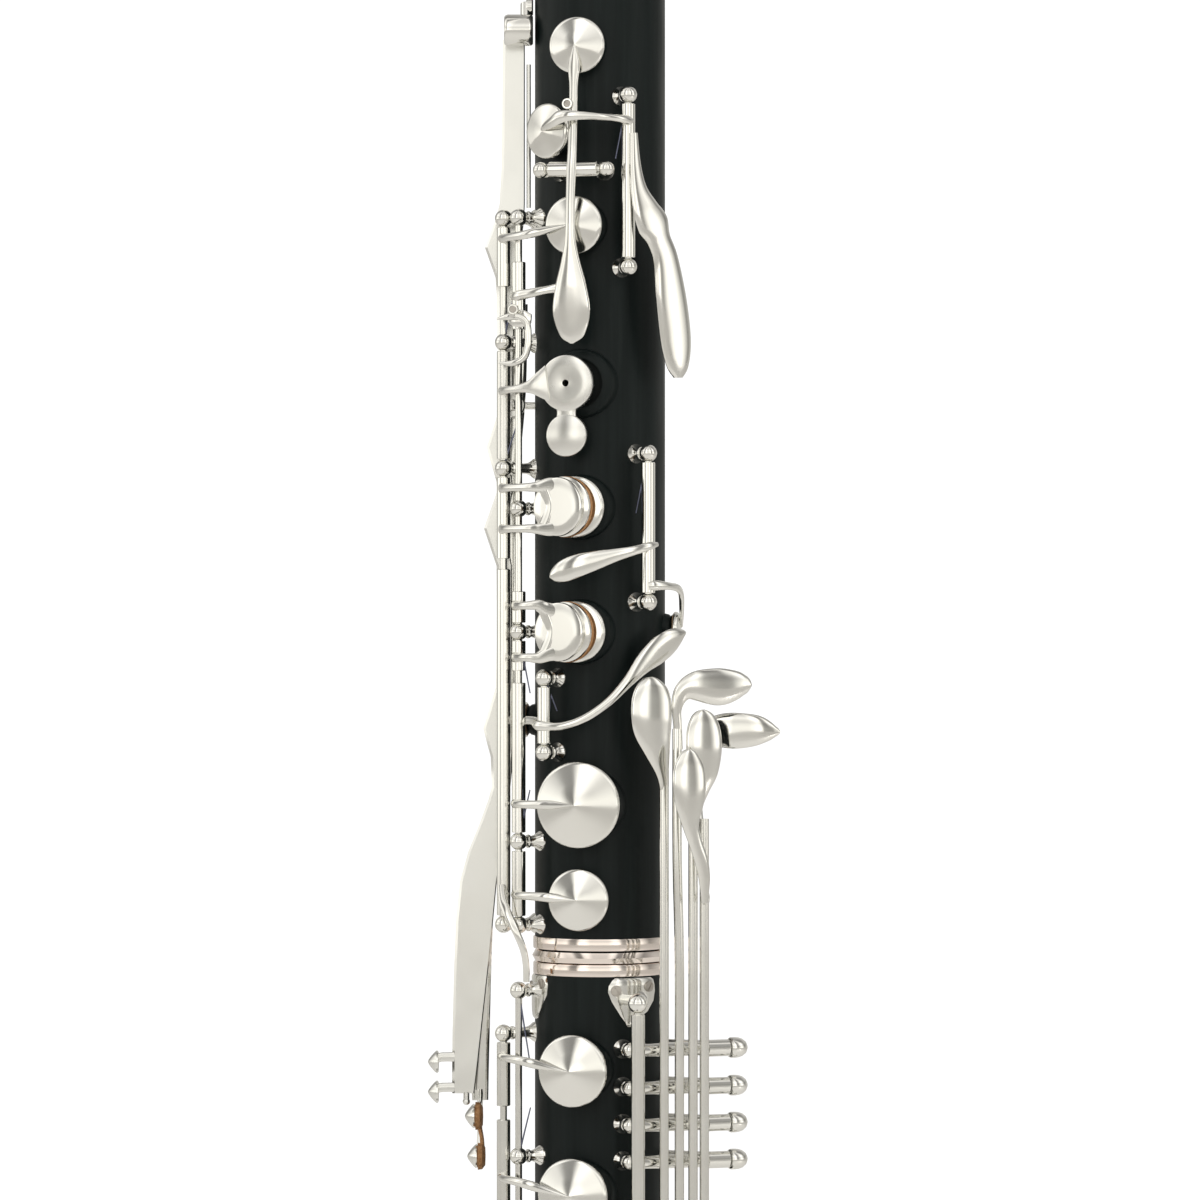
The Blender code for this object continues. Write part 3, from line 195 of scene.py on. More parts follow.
def cork():
    look = Look("cork", (0.36, 0.19, 0.08), 0.85)
    grain = look.noise(1400, 5, rough=0.7)
    look.feed("Base Color", look.ramp(grain, ((0.3, (0.20, 0.085, 0.03)), (0.55, (0.40, 0.21, 0.09)),
        (0.8, (0.52, 0.32, 0.16)))))
    look.bump(grain, 0.5, 0.0002)
    return look.made


def pad_skin():
    look = Look("pad_skin", (0.47, 0.33, 0.20), 0.6)
    grain = look.noise(1100, 4)
    look.feed("Base Color", look.ramp(grain, ((0.3, (0.36, 0.23, 0.13)), (0.7, (0.55, 0.41, 0.27)))))
    look.bump(grain, 0.25, 0.0001)
    return look.made


def cane():
    look = Look("cane", (0.72, 0.55, 0.29), 0.55)
    fibre = look.noise(900, 5, (1, 0.05, 1), 0.6)
    look.feed("Base Color", look.ramp(fibre, ((0.3, (0.60, 0.42, 0.19)), (0.6, (0.76, 0.59, 0.32)),
        (0.8, (0.83, 0.70, 0.45)))))
    look.bump(fibre, 0.2, 0.0001)
    return look.made


def steel(name, colour, rough):
    look = Look(name, colour, rough, 1.0)
    look.feed("Roughness", look.spread(look.noise(500, 3), rough * 0.8, rough * 1.4))
    look.bump(look.noise(1800, 2), 0.05, 0.00002)
    return look.made


def plain_floor():
    """Pale floor that runs on into the white behind it."""
    look = Look("floor", (0.80, 0.79, 0.77), 0.6)
    look.feed("Roughness", look.spread(look.noise(3, 2), 0.55, 0.68))
    white = (1, 1, 1, 1)
    glow = wired(look.tree, "Emission", {"Color": white, "Strength": 1.15})
    rays = wired(look.tree, "LightPath", {})
    share = wired(look.tree, "Math", {0: rays.outputs["Is Camera Ray"], 1: 0.9}, operation="MULTIPLY")
    mix = wired(look.tree, "MixShader", {"Fac": share.outputs[0], 1: look.shader.outputs[0],
        2: glow.outputs[0]})
    look.link(mix.outputs[0], look.tree.nodes["Material Output"].inputs["Surface"])
    return look.made


LOOKS = {
    "silver": silver("silver_plate", (0.88, 0.875, 0.84), (0.845, 0.835, 0.79), 0.11),
    "ring": silver("ring_silver", (0.95, 0.87, 0.81), (0.89, 0.79, 0.72), 0.1),
    "brushed": silver("satin_silver", (0.86, 0.855, 0.82), (0.83, 0.82, 0.78), 0.24),
    "satin": silver("trill_silver", (0.86, 0.86, 0.83), (0.83, 0.825, 0.79), 0.2),
    "wood": blackwood(),
    "rubber": hard_rubber(),
    "cork": cork(),
    "pad": pad_skin(),
    "cane": cane(),
    "blued": steel("blued_steel", (0.16, 0.17, 0.24), 0.3),
    "steel": steel("screw_steel", (0.50, 0.47, 0.43), 0.3),
    "peg": steel("peg_steel", (0.72, 0.71, 0.69), 0.28),
}


# ---------------------------------------------------------------- places

def out(angle):
    a = math.radians(angle)
    return Vector((math.sin(a), -math.cos(a), 0))


def along(angle):
    a = math.radians(angle)
    return Vector((math.cos(a), math.sin(a), 0))


def at(angle, radius, height):
    return out(angle) * radius + Vector((0, 0, height))


def rack(offset, place, height):
    return out(RACK_ANGLE) * offset + along(RACK_ANGLE) * place + Vector((0, 0, height))


def side(right, outwards, height):
    return Vector((right, -outwards, height))


def trail(place, *spots):
    """The points of a path, each spot being what `place` takes."""
    return [place(*spot) for spot in spots]


def aligned(origin, direction):
    z = direction.normalized()
    lean = Vector((0, 0, 1)) if abs(z.z) < 0.9 else Vector((1, 0, 0))
    y = z.cross(lean).normalized()
    return Matrix.Translation(origin) @ Matrix((y.cross(z), y, z)).transposed().to_4x4()


def smooth(values, count):
    """Points or numbers read evenly from a Catmull-Rom curve through the given ones."""
    found = []
    last = len(values) - 1
    for i in range(count):
        t = i * last / (count - 1)
        k = min(int(t), last - 1)
        f = t - k
        p0, p1, p2, p3 = (values[min(max(k + j, 0), last)] for j in (-1, 0, 1, 2))
        found.append(0.5 * (2 * p1 + (p2 - p0) * f + (2 * p0 - 5 * p1 + 4 * p2 - p3) * f ** 2
            + (3 * p1 - p0 - 3 * p2 + p3) * f ** 3))
    return found


# ---------------------------------------------------------------- shapes

class Piece:
    """One visual piece, gathered from closed shells in keywork axes."""

    def __init__(self):
        self.data = bmesh.new()

    def _add(self, other):
        bmesh.ops.recalc_face_normals(other, faces=other.faces)
        mesh = bpy.data.meshes.new("part")
        other.to_mesh(mesh)
        other.free()
        self.data.from_mesh(mesh)
        bpy.data.meshes.remove(mesh)
        return self

    def sections(self, rings):
        """Skin closed rings of points, capped at both ends."""
        data = bmesh.new()
        rows = [[data.verts.new(point) for point in ring] for ring in rings]
        count = len(rows[0])
        for low, high in zip(rows, rows[1:]):
            for i in range(count):
                j = (i + 1) % count
                data.faces.new((low[i], low[j], high[j], high[i]))
        data.faces.new(rows[0])
        data.faces.new(rows[-1])
        return self._add(data)

    def turned(self, profile, place=None, steps=48, ring=False):
        """Turn (radius, height) points about Z. A ring's profile closes on itself."""
        data = bmesh.new()
        rows = []
        for radius, height in profile:
            if radius < 1e-6:
                rows.append([data.verts.new((0, 0, height))])
            else:
                rows.append([data.verts.new((radius * math.cos(2 * math.pi * i / steps),
                    radius * math.sin(2 * math.pi * i / steps), height)) for i in range(steps)])
        pairs = list(zip(rows, rows[1:]))
        if ring:
            pairs.append((rows[-1], rows[0]))
        for low, high in pairs:
            for i in range(steps):
                j = (i + 1) % steps
                if len(low) == 1:
                    data.faces.new((low[0], high[j], high[i]))
                elif len(high) == 1:
                    data.faces.new((low[i], low[j], high[0]))
                else:
                    data.faces.new((low[i], low[j], high[j], high[i]))
        if place:
            bmesh.ops.transform(data, matrix=place, verts=data.verts)
        return self._add(data)

    def rod(self, start, end, radius, end_radius=None):
        """A straight round bar with softened ends."""
        last = radius if end_radius is None else end_radius
        length = (end - start).length
        e = min(0.12, length / 4, radius / 2)
        profile = [(0, length), (last - e, length), (last, length - e), (radius, e), (radius - e, 0), (0, 0)]
        return self.turned(profile, aligned(start, end - start), 28)

    def pipe(self, stations, wall, count, sides=72):
        """A hollow pipe in the symmetry plane, through (point, direction, outer radius) stations."""
        points = smooth([point for point, _, _ in stations], count)
        ways = smooth([way for _, way, _ in stations], count)
        radii = smooth([radius for _, _, radius in stations], count)
        data = bmesh.new()
        rows = []
        for shrink, order in ((0, 1), (wall, -1)):
            for point, way, radius in list(zip(points, ways, radii))[::order]:
                across = way.normalized().cross(Vector((1, 0, 0)))
                rows.append([data.verts.new(point
                    + (Vector((math.cos(a), 0, 0)) + across * math.sin(a)) * (radius - shrink))
                    for a in (2 * math.pi * k / sides for k in range(sides))])
        for low, high in zip(rows, rows[1:] + rows[:1]):
            for k in range(sides):
                j = (k + 1) % sides
                data.faces.new((low[k], low[j], high[j], high[k]))
        return self._add(data)

    def sleeve(self, start, end, radius=TUBE_R):
        """A hinge tube, open at both ends."""
        length = (end - start).length
        bore, e = 1.15, 0.18
        profile = [(bore, length), (radius - e, length), (radius, length - e), (radius, e), (radius - e, 0),
            (bore, 0)]
        return self.turned(profile, aligned(start, end - start), 32, ring=True)

    def ball(self, centre, radius, steps=32):
        rows = 18
        profile = [(radius * math.sin(math.pi * i / rows), radius * math.cos(math.pi * i / rows))
            for i in range(rows + 1)]
        profile[0], profile[-1] = (0, radius), (0, -radius)
        return self.turned(profile, Matrix.Translation(centre), steps)

    def bar(self, points, wide, thick, count=32, faces=16, power=2.4, up=Vector((0, 0, 1)), facing=None):
        """A swept bar. wide and thick are half sizes; power 2 is oval and more is squarer.

        Its wide side lies along `up`, or square to `facing` where that is given."""
        path = smooth([Vector(p) for p in points], count)
        widths, depths = smooth(list(wide), count), smooth(list(thick), count)
        rings = []
        for i, point in enumerate(path):
            way = (path[min(i + 1, count - 1)] - path[max(i - 1, 0)]).normalized()
            if facing is None:
                across = way.cross(up).cross(way).normalized()
            else:
                across = way.cross(facing).normalized()
            normal = across.cross(way).normalized()
            ring = []
            for k in range(faces):
                a = 2 * math.pi * (k + 0.5) / faces
                c, s = math.cos(a), math.sin(a)
                x = math.copysign(abs(c) ** (2 / power), c) * max(widths[i], 0.05)
                y = math.copysign(abs(s) ** (2 / power), s) * max(depths[i], 0.05)
                ring.append(point + across * x + normal * y)
            rings.append(ring)
        return self.sections(rings)

    @staticmethod
    def blunted(path, halves):
        """Half widths with the last one rounded off as a circle rather than run to a point."""
        gone = [0.0]
        for near, far in zip(path[::-1], path[-2::-1]):
            gone.append(gone[-1] + (near - far).length)
        gone.reverse()
        fits = [half for half, way in zip(halves, gone) if way >= half * 0.75]
        cap = fits[-1] if fits else halves[-1]
        return [max(half, cap * math.sqrt(max(0.0, 1 - (1 - min(way / cap, 1.0)) ** 2)) * 0.97) if way < cap
            else half for half, way in zip(halves, gone)]

    def leaf(self, points, widths, thickness=0.9, count=40, facing=None, crown=0.0):
        """A finger touch: a thin leaf, domed on its face by `crown` and flatter behind."""
        path = smooth([Vector(p) for p in points], count)
        halves = self.blunted(path, smooth(list(widths), count))
        radial = (lambda p: Vector((p.x, p.y, 0)).normalized()) if facing is None else (lambda p: facing)
        rings = []
        faces, belly = 28, 0.55
        for i, point in enumerate(path):
            way = (path[min(i + 1, count - 1)] - path[max(i - 1, 0)]).normalized()
            across = way.cross(radial(point)).normalized()
            normal = across.cross(way).normalized()
            if normal.dot(radial(point)) < 0:
                normal = -normal
            half = max(halves[i], 0.25)
            ring = []
            for k in range(faces):
                a = 2 * math.pi * (k + 0.5) / faces
                c, s = math.cos(a), math.sin(a)
                x = math.copysign(abs(c) ** 0.85, c)
                rise = thickness + crown * min(half / 4.5, 1.0) if s > 0 else thickness * belly
                ring.append(point + across * x * half + normal * (s * rise))
            rings.append(ring)
        return self.sections(rings)

    def screw_head(self, place, radius, height, slot=0.35, twist=0.0):
        """A slotted head: a disc with two half moons on it, either side of the slot."""
        base = height * 0.55
        self.turned([(0, base), (radius * 0.96, base), (radius, base * 0.8), (radius, 0), (0, 0)], place, 28)
        spin = Matrix.Rotation(twist, 4, "Z")
        for hand in (1, -1):
            angle = math.acos(slot / radius)
            points = [Vector((radius * 0.94 * math.cos(a), hand * radius * 0.94 * math.sin(a), 0))
                for a in [math.pi / 2 - angle + 2 * angle * i / 12 for i in range(13)]]
            rings = [[place @ spin @ (p + Vector((0, 0, z))) for p in points] for z in (base * 0.9, height)]
            self.sections(rings)
        return self

    def turn(self, line, degrees):
        """Turn everything so far about an upright hinge line."""
        pivot = at(*line, 0)
        spin = Matrix.Rotation(math.radians(degrees), 4, "Z")
        spin = Matrix.Translation(pivot) @ spin @ Matrix.Translation(-pivot)
        bmesh.ops.transform(self.data, matrix=spin, verts=self.data.verts)
        return self

    def done(self, name, look, body, replaces=(), keywork=True, sharp=38):
        turn = Matrix.Rotation(math.radians(KEY_TURN if keywork else 0), 4, "Z")
        world = Matrix.Scale(MM, 4) @ Matrix.Translation((0, BORE_BACK, 0)) @ turn
        mesh = bpy.data.meshes.new(name)
        bmesh.ops.transform(self.data, matrix=world, verts=self.data.verts)
        self.data.to_mesh(mesh)
        self.data.free()
        mesh.materials.append(LOOKS[look])
        mesh.shade_smooth()
        mesh.set_sharp_from_angle(angle=math.radians(sharp))
        obj = bpy.data.objects.new(name, mesh)
        STAGE.objects.link(obj)
        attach(obj, body)
        if replaces:
            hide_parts(*([replaces] if isinstance(replaces, str) else replaces))
        return obj


ROOT = "instrument"


# ---------------------------------------------------------------- keywork pieces

def add_post(piece, centre, radius=BALL_R, foot_angle=None, screw=None):
    """Ball head, waisted stem and flared foot; `screw` is the way a slotted pivot screw faces."""
    outwards = Vector((centre.x, centre.y, 0)).normalized() if foot_angle is None else out(foot_angle)
    base = outwards * (BODY_R - 0.4) + Vector((0, 0, centre.z))
    reach = centre - base
    length = reach.length
    place = aligned(base, reach)
    foot = 2.9
    profile = [(1.5, length), (1.5, min(4.4, length * 0.7)), (1.62, 3.2), (1.9, 2.3), (2.4, 1.4),
        (foot - 0.1, 0.85), (foot, 0.7), (foot, 0)]
    piece.turned([(0, length)] + profile + [(0, 0)], place, 40)
    piece.ball(centre, radius)
    if length > 5:
        neck = place @ Matrix.Translation((0, 0, length - radius - 0.35))
        piece.turned([(0, 0.35), (1.75, 0.3), (1.95, 0.1), (1.95, -0.3), (1.75, -0.5), (0, -0.5)], neck, 36)
    if screw is not None:
        face = aligned(centre + screw * (radius - 0.72), screw)
        piece.screw_head(face, 1.0, 0.5, 0.18, 0.6)


def post_line(name, line, heights, replaces, foot_angle=None):
    piece = Piece()
    piece.rod(at(*line, heights[0]), at(*line, heights[-1]), ROD_R)
    for i, height in enumerate(heights):
        screw = Vector((0, 0, 1)) if i == 0 else Vector((0, 0, -1)) if i == len(heights) - 1 else None
        add_post(piece, at(*line, height), foot_angle=foot_angle, screw=screw)
    piece.done(name, "silver", ROOT, replaces)


def line_sleeve(piece, line, low, high):
    piece.sleeve(at(*line, low), at(*line, high))


def sleeve_between(piece, line, posts):
    """A tube that fills its line from the top post to the bottom one, with room to turn."""
    line_sleeve(piece, line, posts[-1] + END_GAP, posts[0] - END_GAP)


def add_cup(piece, angle, height, radius, seat=PAD_SEAT, rise=3.0, edge=1.9):
    """A cup with a rolled rim and a shallow straight cone."""
    place = aligned(at(angle, seat, height), out(angle))
    r = radius
    profile = [(0, rise), (r * 0.06, rise - 0.02), (r * 0.5, (rise + edge) / 2 + 0.03),
        (r - 1.0, edge + 0.06), (r - 0.5, edge - 0.06), (r - 0.14, edge - 0.35), (r, edge - 0.8), (r, 0.45),
        (r - 0.12, 0.12), (r - 0.5, 0), (r - 0.6, 0.25), (0, 0.25)]
    piece.turned(profile, place, 72)


def pad(name, body, angle, height, radius, seat=PAD_SEAT, turn=None):
    """The skin-covered pad held in a cup, standing a little proud of its rim."""
    place = aligned(at(angle, seat, height), out(angle))
    r = radius - 0.55
    piece = Piece()
    piece.turned([(0, 0.6), (r, 0.6), (r, -0.12), (r - 0.25, -0.24), (0, -0.24)], place, 48)
    if turn:
        piece.turn(*turn)
    piece.done(name, "pad", body)


def over_arm(piece, line, height, angle, top, apex):
    """A tapering arm from a hinge tube, over the inner tube and on to the middle of a cup."""
    wide = 1.35
    outer = line is OUTER_LINE
    start = line[0]
    lift = line[1] + (0.6 if outer else 1.2)
    crest = 30.2 if outer else 28.3
    bend, end = at(start + 26, crest - 0.9, height + (top - height) * 0.1), at(angle, apex, top)
    points = [at(start - 7, lift - 1.4, height), at(start, lift + 0.2, height), at(start + 12, crest, height),
        bend, bend.lerp(end, 0.33), bend.lerp(end, 0.67), end]
    piece.bar(points, [0.25, wide, wide * 0.85, wide * 0.95, wide, wide * 0.6, 0.2],
        [0.3, 1.0, 0.9, 0.85, 0.85, 0.65, 0.25], 52, 16, 1.7)


def padded_key(name, line, low, high, arm_at, angle, height, radius, stands_open=False):
    piece = Piece()
    line_sleeve(piece, line, low, high)
    rise = 1.9 + 0.22 * radius
    over_arm(piece, line, arm_at, angle, height, PAD_SEAT + rise)
    add_cup(piece, angle, height, radius, rise=rise)
    turn = (line, OPEN_TURN) if stands_open else None
    if turn:
        piece.turn(*turn)
    piece.done(name + "_silver", "silver", name, name)
    pad(name + "_pad", name, angle, height, radius, turn=turn)


def finger_plate(name, line, tubes, arms_at, height):
    """Open-standing plateau: a wide rimmed cup, a raised ring and a smaller touch plate, on a forked arm."""
    angle = HOLE_LINE
    piece = Piece()
    for low, high in tubes:
        line_sleeve(piece, line, low, high)
    outer = line is OUTER_LINE
    crest = 30.2 if outer else 28.6
    lift = line[1] + (0.6 if outer else 1.3)
    for arm_height in arms_at:
        way = math.copysign(1, height - arm_height)
        points = trail(at, (line[0] - 8, lift - 1.6, arm_height), (line[0], lift, arm_height),
            (line[0] + 12, crest - 0.4, arm_height), (-46, 28.0, arm_height),
            (-38, 26.8, arm_height - way * 0.1), (-31, 26.0, height - way * 6.3),
            (-24, 25.6, height - way * 5.9))
        piece.bar(points, [0.25, 1.5, 1.15, 1.2, 1.6, 2.1, 2.3], [0.3, 1.0, 0.9, 0.9, 0.9, 0.85, 0.8], 48, 16,
            2.4)
    web = trail(at, (-40, 26.6, height + 6.9), (-35, 26.2, height + 5.6), (-31, 25.7, height),
        (-35, 26.2, height - 5.6), (-40, 26.6, height - 6.9))
    piece.bar(web, [1.0, 1.7, 1.9, 1.7, 1.0], [0.8] * 5, 36, 14, 2.6, facing=out(-34))
    tilt = Matrix.Rotation(math.radians(-14), 4, "Z")
    spot = at(angle, PAD_SEAT, height)
    cup_place = aligned(spot + along(angle) * 0.8, out(angle))
    r = 8.9
    piece.turned([(0, 1.7), (r - 0.9, 1.7), (r - 0.5, 1.6), (r - 0.1, 1.3), (r, 1.0), (r, 0.4),
        (r - 0.15, 0.12), (r - 0.5, 0), (r - 0.6, 0.3), (0, 0.3)], cup_place, 72)
    plate_place = aligned(at(angle, PAD_SEAT + 3.1, height) - along(angle) * 3.0, tilt @ out(angle))
    r = 8.5
    piece.turned([(0, 1.75), (r * 0.6, 1.74), (r - 0.55, 1.68), (r - 0.14, 1.5), (r, 1.2), (r, 0.5),
        (r - 0.2, 0.2), (r - 0.6, 0.1), (0, 0.1)], plate_place, 80)
    under_place = aligned(at(angle, PAD_SEAT + 2.3, height) - along(angle) * 1.6,
        Matrix.Rotation(math.radians(-9), 4, "Z") @ out(angle))
    piece.turned([(0, 1.5), (8.3, 1.5), (8.65, 1.3), (8.7, 1.0), (8.7, 0.6), (8.5, 0.4), (0, 0.4)],
        under_place, 80)
    band = Piece()
    band.turned([(0, 0.4), (8.75, 0.4), (8.8, 0.2), (8.8, -0.5), (8.6, -0.6), (0, -0.6)], under_place, 72)
    band.turn(line, OPEN_TURN)
    band.done(name + "_band", "cork", name)
    piece.turn(line, OPEN_TURN)
    piece.done(name + "_silver", "silver", name, name)
    place_angle = angle + math.degrees(0.8 / PAD_SEAT)
    pad(name + "_pad", name, place_angle, height, 8.9, turn=(line, OPEN_TURN))


# ---------------------------------------------------------------- wooden joints and rings

UPPER_HOLES = ((HOLE_LINE, 1032.8, 7.0), (-42, 1008.5, 6.4), (HOLE_LINE, 981.0, 7.2), (HOLE_LINE, 935.5, 9.8),
    (HOLE_LINE, 899.8, 9.2), (HOLE_LINE, 863.8, 9.2), (-13, 814.0, 10.6), (-16, 786.6, 7.4), (84, 865.0, 3.8),
    (-100, 838.0, 4.4), (BACK, 1003.0, 3.8))
LOWER_HOLES = ((HOLE_LINE, 737.6, 8.8), (HOLE_LINE, 701.6, 9.6), (HOLE_LINE, 664.0, 9.2),
    (HOLE_LINE, 627.0, 9.2), (HOLE_LINE, 590.0, 9.2), (-5, 527.0, 11.6), (-5, 460.0, 12.2), (-5, 390.0, 12.6))


def add_chimneys(piece, holes):
    """Raised tone-hole seats with a soft outer edge and a thin lip round the hole."""
    for angle, height, radius in holes:
        place = aligned(at(angle, 15.5, height), out(angle))
        top = CHIMNEY_TOP - 15.5 - 0.1
        bore = radius * 0.72
        piece.turned([(bore, top), (bore + 0.5, top + 0.05), (bore + 1.0, top - 0.1),
            (radius - 0.5, top - 0.35), (radius, top - 0.9), (radius + 0.25, top - 1.9), (radius + 0.6, 0),
            (bore, 0)], place, 56, ring=True)


def wooden_joints():
    upper = Piece()
    upper.turned([(BORE_R, TOP), (18.0, TOP), (BODY_R - 0.2, TOP - 0.3), (BODY_R, TOP - 1),
        (BODY_R, SEAM_TOP), (SEAT_R, SEAM_TOP), (SEAT_R, SEAM_MID + 0.3), (TENON_R, SEAM_MID + 0.3),
        (TENON_R, TENON_END), (BORE_R, TENON_END)], None, 160, ring=True)
    add_chimneys(upper, UPPER_HOLES)
    upper.done("upper_joint_wood", "wood", ROOT, "upper_joint")
    lower = Piece()
    lower.turned([(SOCKET_R, SEAM_MID), (SEAT_R, SEAM_MID), (SEAT_R, SEAM_LOW), (BODY_R, SEAM_LOW),
        (BODY_R, FOOT + 8), (SEAT_R, FOOT + 8), (SEAT_R, FOOT), (BORE_R, FOOT), (BORE_R, SOCKET_END),
        (SOCKET_R, SOCKET_END)], None, 160, ring=True)
    add_chimneys(lower, LOWER_HOLES)
    lower.done("lower_joint_wood", "wood", ROOT, "lower_joint")


def rounded_band(piece, high, low, radius, inner=17.7, edge=0.35, crown=0.0):
    mid = (high + low) / 2
    piece.turned([(inner, high), (radius - edge, high), (radius - edge * 0.3, high - edge * 0.3),
        (radius, high - edge), (radius + crown, mid), (radius, low + edge),
        (radius - edge * 0.3, low + edge * 0.3), (radius - edge, low), (inner, low)], None, 160, ring=True)


def middle_rings():
    upper = Piece()
    rounded_band(upper, SEAM_TOP - 0.05, SEAM_MID + 0.12, 19.5)
    upper.done("upper_ring_silver", "ring", ROOT, "upper_joint_ring")
    socket = Piece()
    rounded_band(socket, SEAM_MID - 0.1, SEAM_MID - 3.7, 19.25, crown=0.55, edge=0.9)
    rounded_band(socket, SEAM_MID - 3.75, SEAM_LOW, 19.5)
    socket.done("socket_ring_silver", "ring", ROOT, "socket_ring")
    top = Piece()
    rounded_band(top, TOP + 0.1, TOP - 6, 19.35, inner=18.6)
    top.done("top_ring_silver", "ring", ROOT)


# ---------------------------------------------------------------- fixed posts

def level_axis(angle, radius, height, offset):
    centre = at(angle, radius, height)
    return centre - along(angle) * offset, centre + along(angle) * offset


def level_posts(name, replaces, angle, radius, height, offset):
    left, right = level_axis(angle, radius, height, offset)
    piece = Piece()
    piece.rod(left, right, ROD_R)
    add_post(piece, left, 2.3, screw=-along(angle))
    add_post(piece, right, 2.3, screw=along(angle))
    piece.done(name, "silver", ROOT, replaces)


def post_plate(name, rows, screws, replaces=(), extra=None):
    """A plate bent round the body, as (height, left angle, right angle) rows, held by slotted screws."""
    piece = Piece()
    count = 14
    rings = []
    for i, (height, left, right) in enumerate(rows):
        outer = BODY_R + (0.55 if i in (0, len(rows) - 1) else 0.95)
        angles = [left + (right - left) * k / count for k in range(count + 1)]
        face = [at(angle, outer if 0 < k < count else outer - 0.3, height) for k, angle in enumerate(angles)]
        rings.append(face + [at(angle, BODY_R - 0.4, height) for angle in reversed(angles)])
    piece.sections(rings)
    if extra:
        extra(piece)
    piece.done(name, "silver", ROOT, replaces)
    heads = Piece()
    for k, (angle, height) in enumerate(screws):
        heads.screw_head(aligned(at(angle, BODY_R + 0.9, height), out(angle)), 1.6, 0.55, 0.3, 0.6 + 1.9 * k)
    heads.done(name + "_screws", "steel", ROOT)


def fixed_posts():
    level_posts("a_key_posts_silver", "a_key_posts", *A_AXLE, 9.9)
    level_posts("register_posts_silver", "register_posts", *REGISTER_AXLE, 8.0)
    post_line("g_sharp_posts_silver", G_LINE, G_POSTS, "g_sharp_posts")
    post_line("outer_posts_silver", OUTER_LINE, OUTER_POSTS, "outer_line_posts", OUTER_FEET)
    post_line("inner_posts_silver", INNER_LINE, INNER_POSTS, "inner_line_posts")
    post_line("sliver_posts_silver", SLIVER_LINE, SLIVER_POSTS, "sliver_posts")
    post_line("c_sharp_posts_silver", C_LINE, C_POSTS, "c_sharp_posts")
    post_line("lower_outer_posts_silver", OUTER_LINE, LOWER_OUTER_POSTS, "lower_outer_posts", OUTER_FEET)
    post_line("lower_inner_posts_silver", INNER_LINE, LOWER_INNER_POSTS, "lower_inner_posts")
    post_line("low_posts_silver", LOW_LINE, LOW_POSTS, "low_line_posts")

    def head(piece):
        """The ball, stem and rod of the lower joint's right-hand hinge."""
        top, foot = RIGHT_POSTS
        centre = at(*RIGHT_LINE, top)
        seat = Vector((centre.x, -math.sqrt(BODY_R ** 2 - centre.x ** 2), top))
        length = (centre - seat).length
        piece.turned([(0, length), (1.5, length), (1.7, 3.5), (2.3, 1.2), (3.0, 0.6), (3.0, 0), (0, 0)],
            aligned(seat, centre - seat), 32)
        piece.ball(centre, 2.9)
        piece.rod(centre, at(*RIGHT_LINE, foot), ROD_R)
        add_post(piece, at(*RIGHT_LINE, foot), screw=Vector((0, 0, -1)))

    rows = ((763.8, 13, 49), (763.2, 10.5, 51.5), (761.6, 7.4, 53.4), (759.8, 6.8, 54), (757, 10, 52),
        (754, 15.6, 44.5), (751.6, 20, 34), (750.3, 22.2, 29.4), (749.7, 24, 27))
    post_plate("right_plate", rows, ((13.5, 760.2), (45.0, 761.2)), "lower_right_posts", head)
    rows = ((764.0, -93, -54), (763.2, -96, -51.6), (761.4, -97, -50.4), (758.6, -97, -51.6), (756, -93, -57),
        (753.4, -86, -63.4), (751.8, -80, -67.4), (751.2, -76, -70))
    post_plate("left_plate", rows, ((-58.5, 761.6), (-88.0, 760.4)))
    for number, height in enumerate(AXLE_HEIGHTS, 1):
        left_end, right_end = rack(AXLE_OFFSET, 0, height), rack(AXLE_OFFSET, 33.5, height)
        foot = Vector((right_end.x, right_end.y, 0)).normalized() * BODY_R + Vector((0, 0, height))
        piece = Piece()
        piece.rod(left_end, right_end, ROD_R)
        add_post(piece, left_end, 2.3)
        way = along(RACK_ANGLE)
        head_place = aligned(right_end - way * 3.0, way)
        piece.turned([(0, 5.5), (0.9, 5.4), (1.8, 4.9), (2.55, 3.9), (2.9, 2.8), (3.0, 1.8), (3.0, 0.5),
            (2.85, 0.15), (2.6, 0), (0, 0)], head_place, 44)
        piece.rod(right_end, foot, 1.6, 2.0)
        piece.turned([(0, 1.0), (2.0, 1.0), (3.0, 0.5), (3.0, 0), (0, 0)], aligned(foot, right_end - foot),
            32)
        piece.done(f"lever_axle_{number}_silver", "silver", ROOT, f"lever_axle_{number}")
        tube = Piece()
        tube.sleeve(rack(AXLE_OFFSET, 23.4, height), rack(AXLE_OFFSET, 30.3, height), 2.45)
        tube.done(f"axle_collar_{number}", "silver", ROOT)


# ---------------------------------------------------------------- upper joint keys

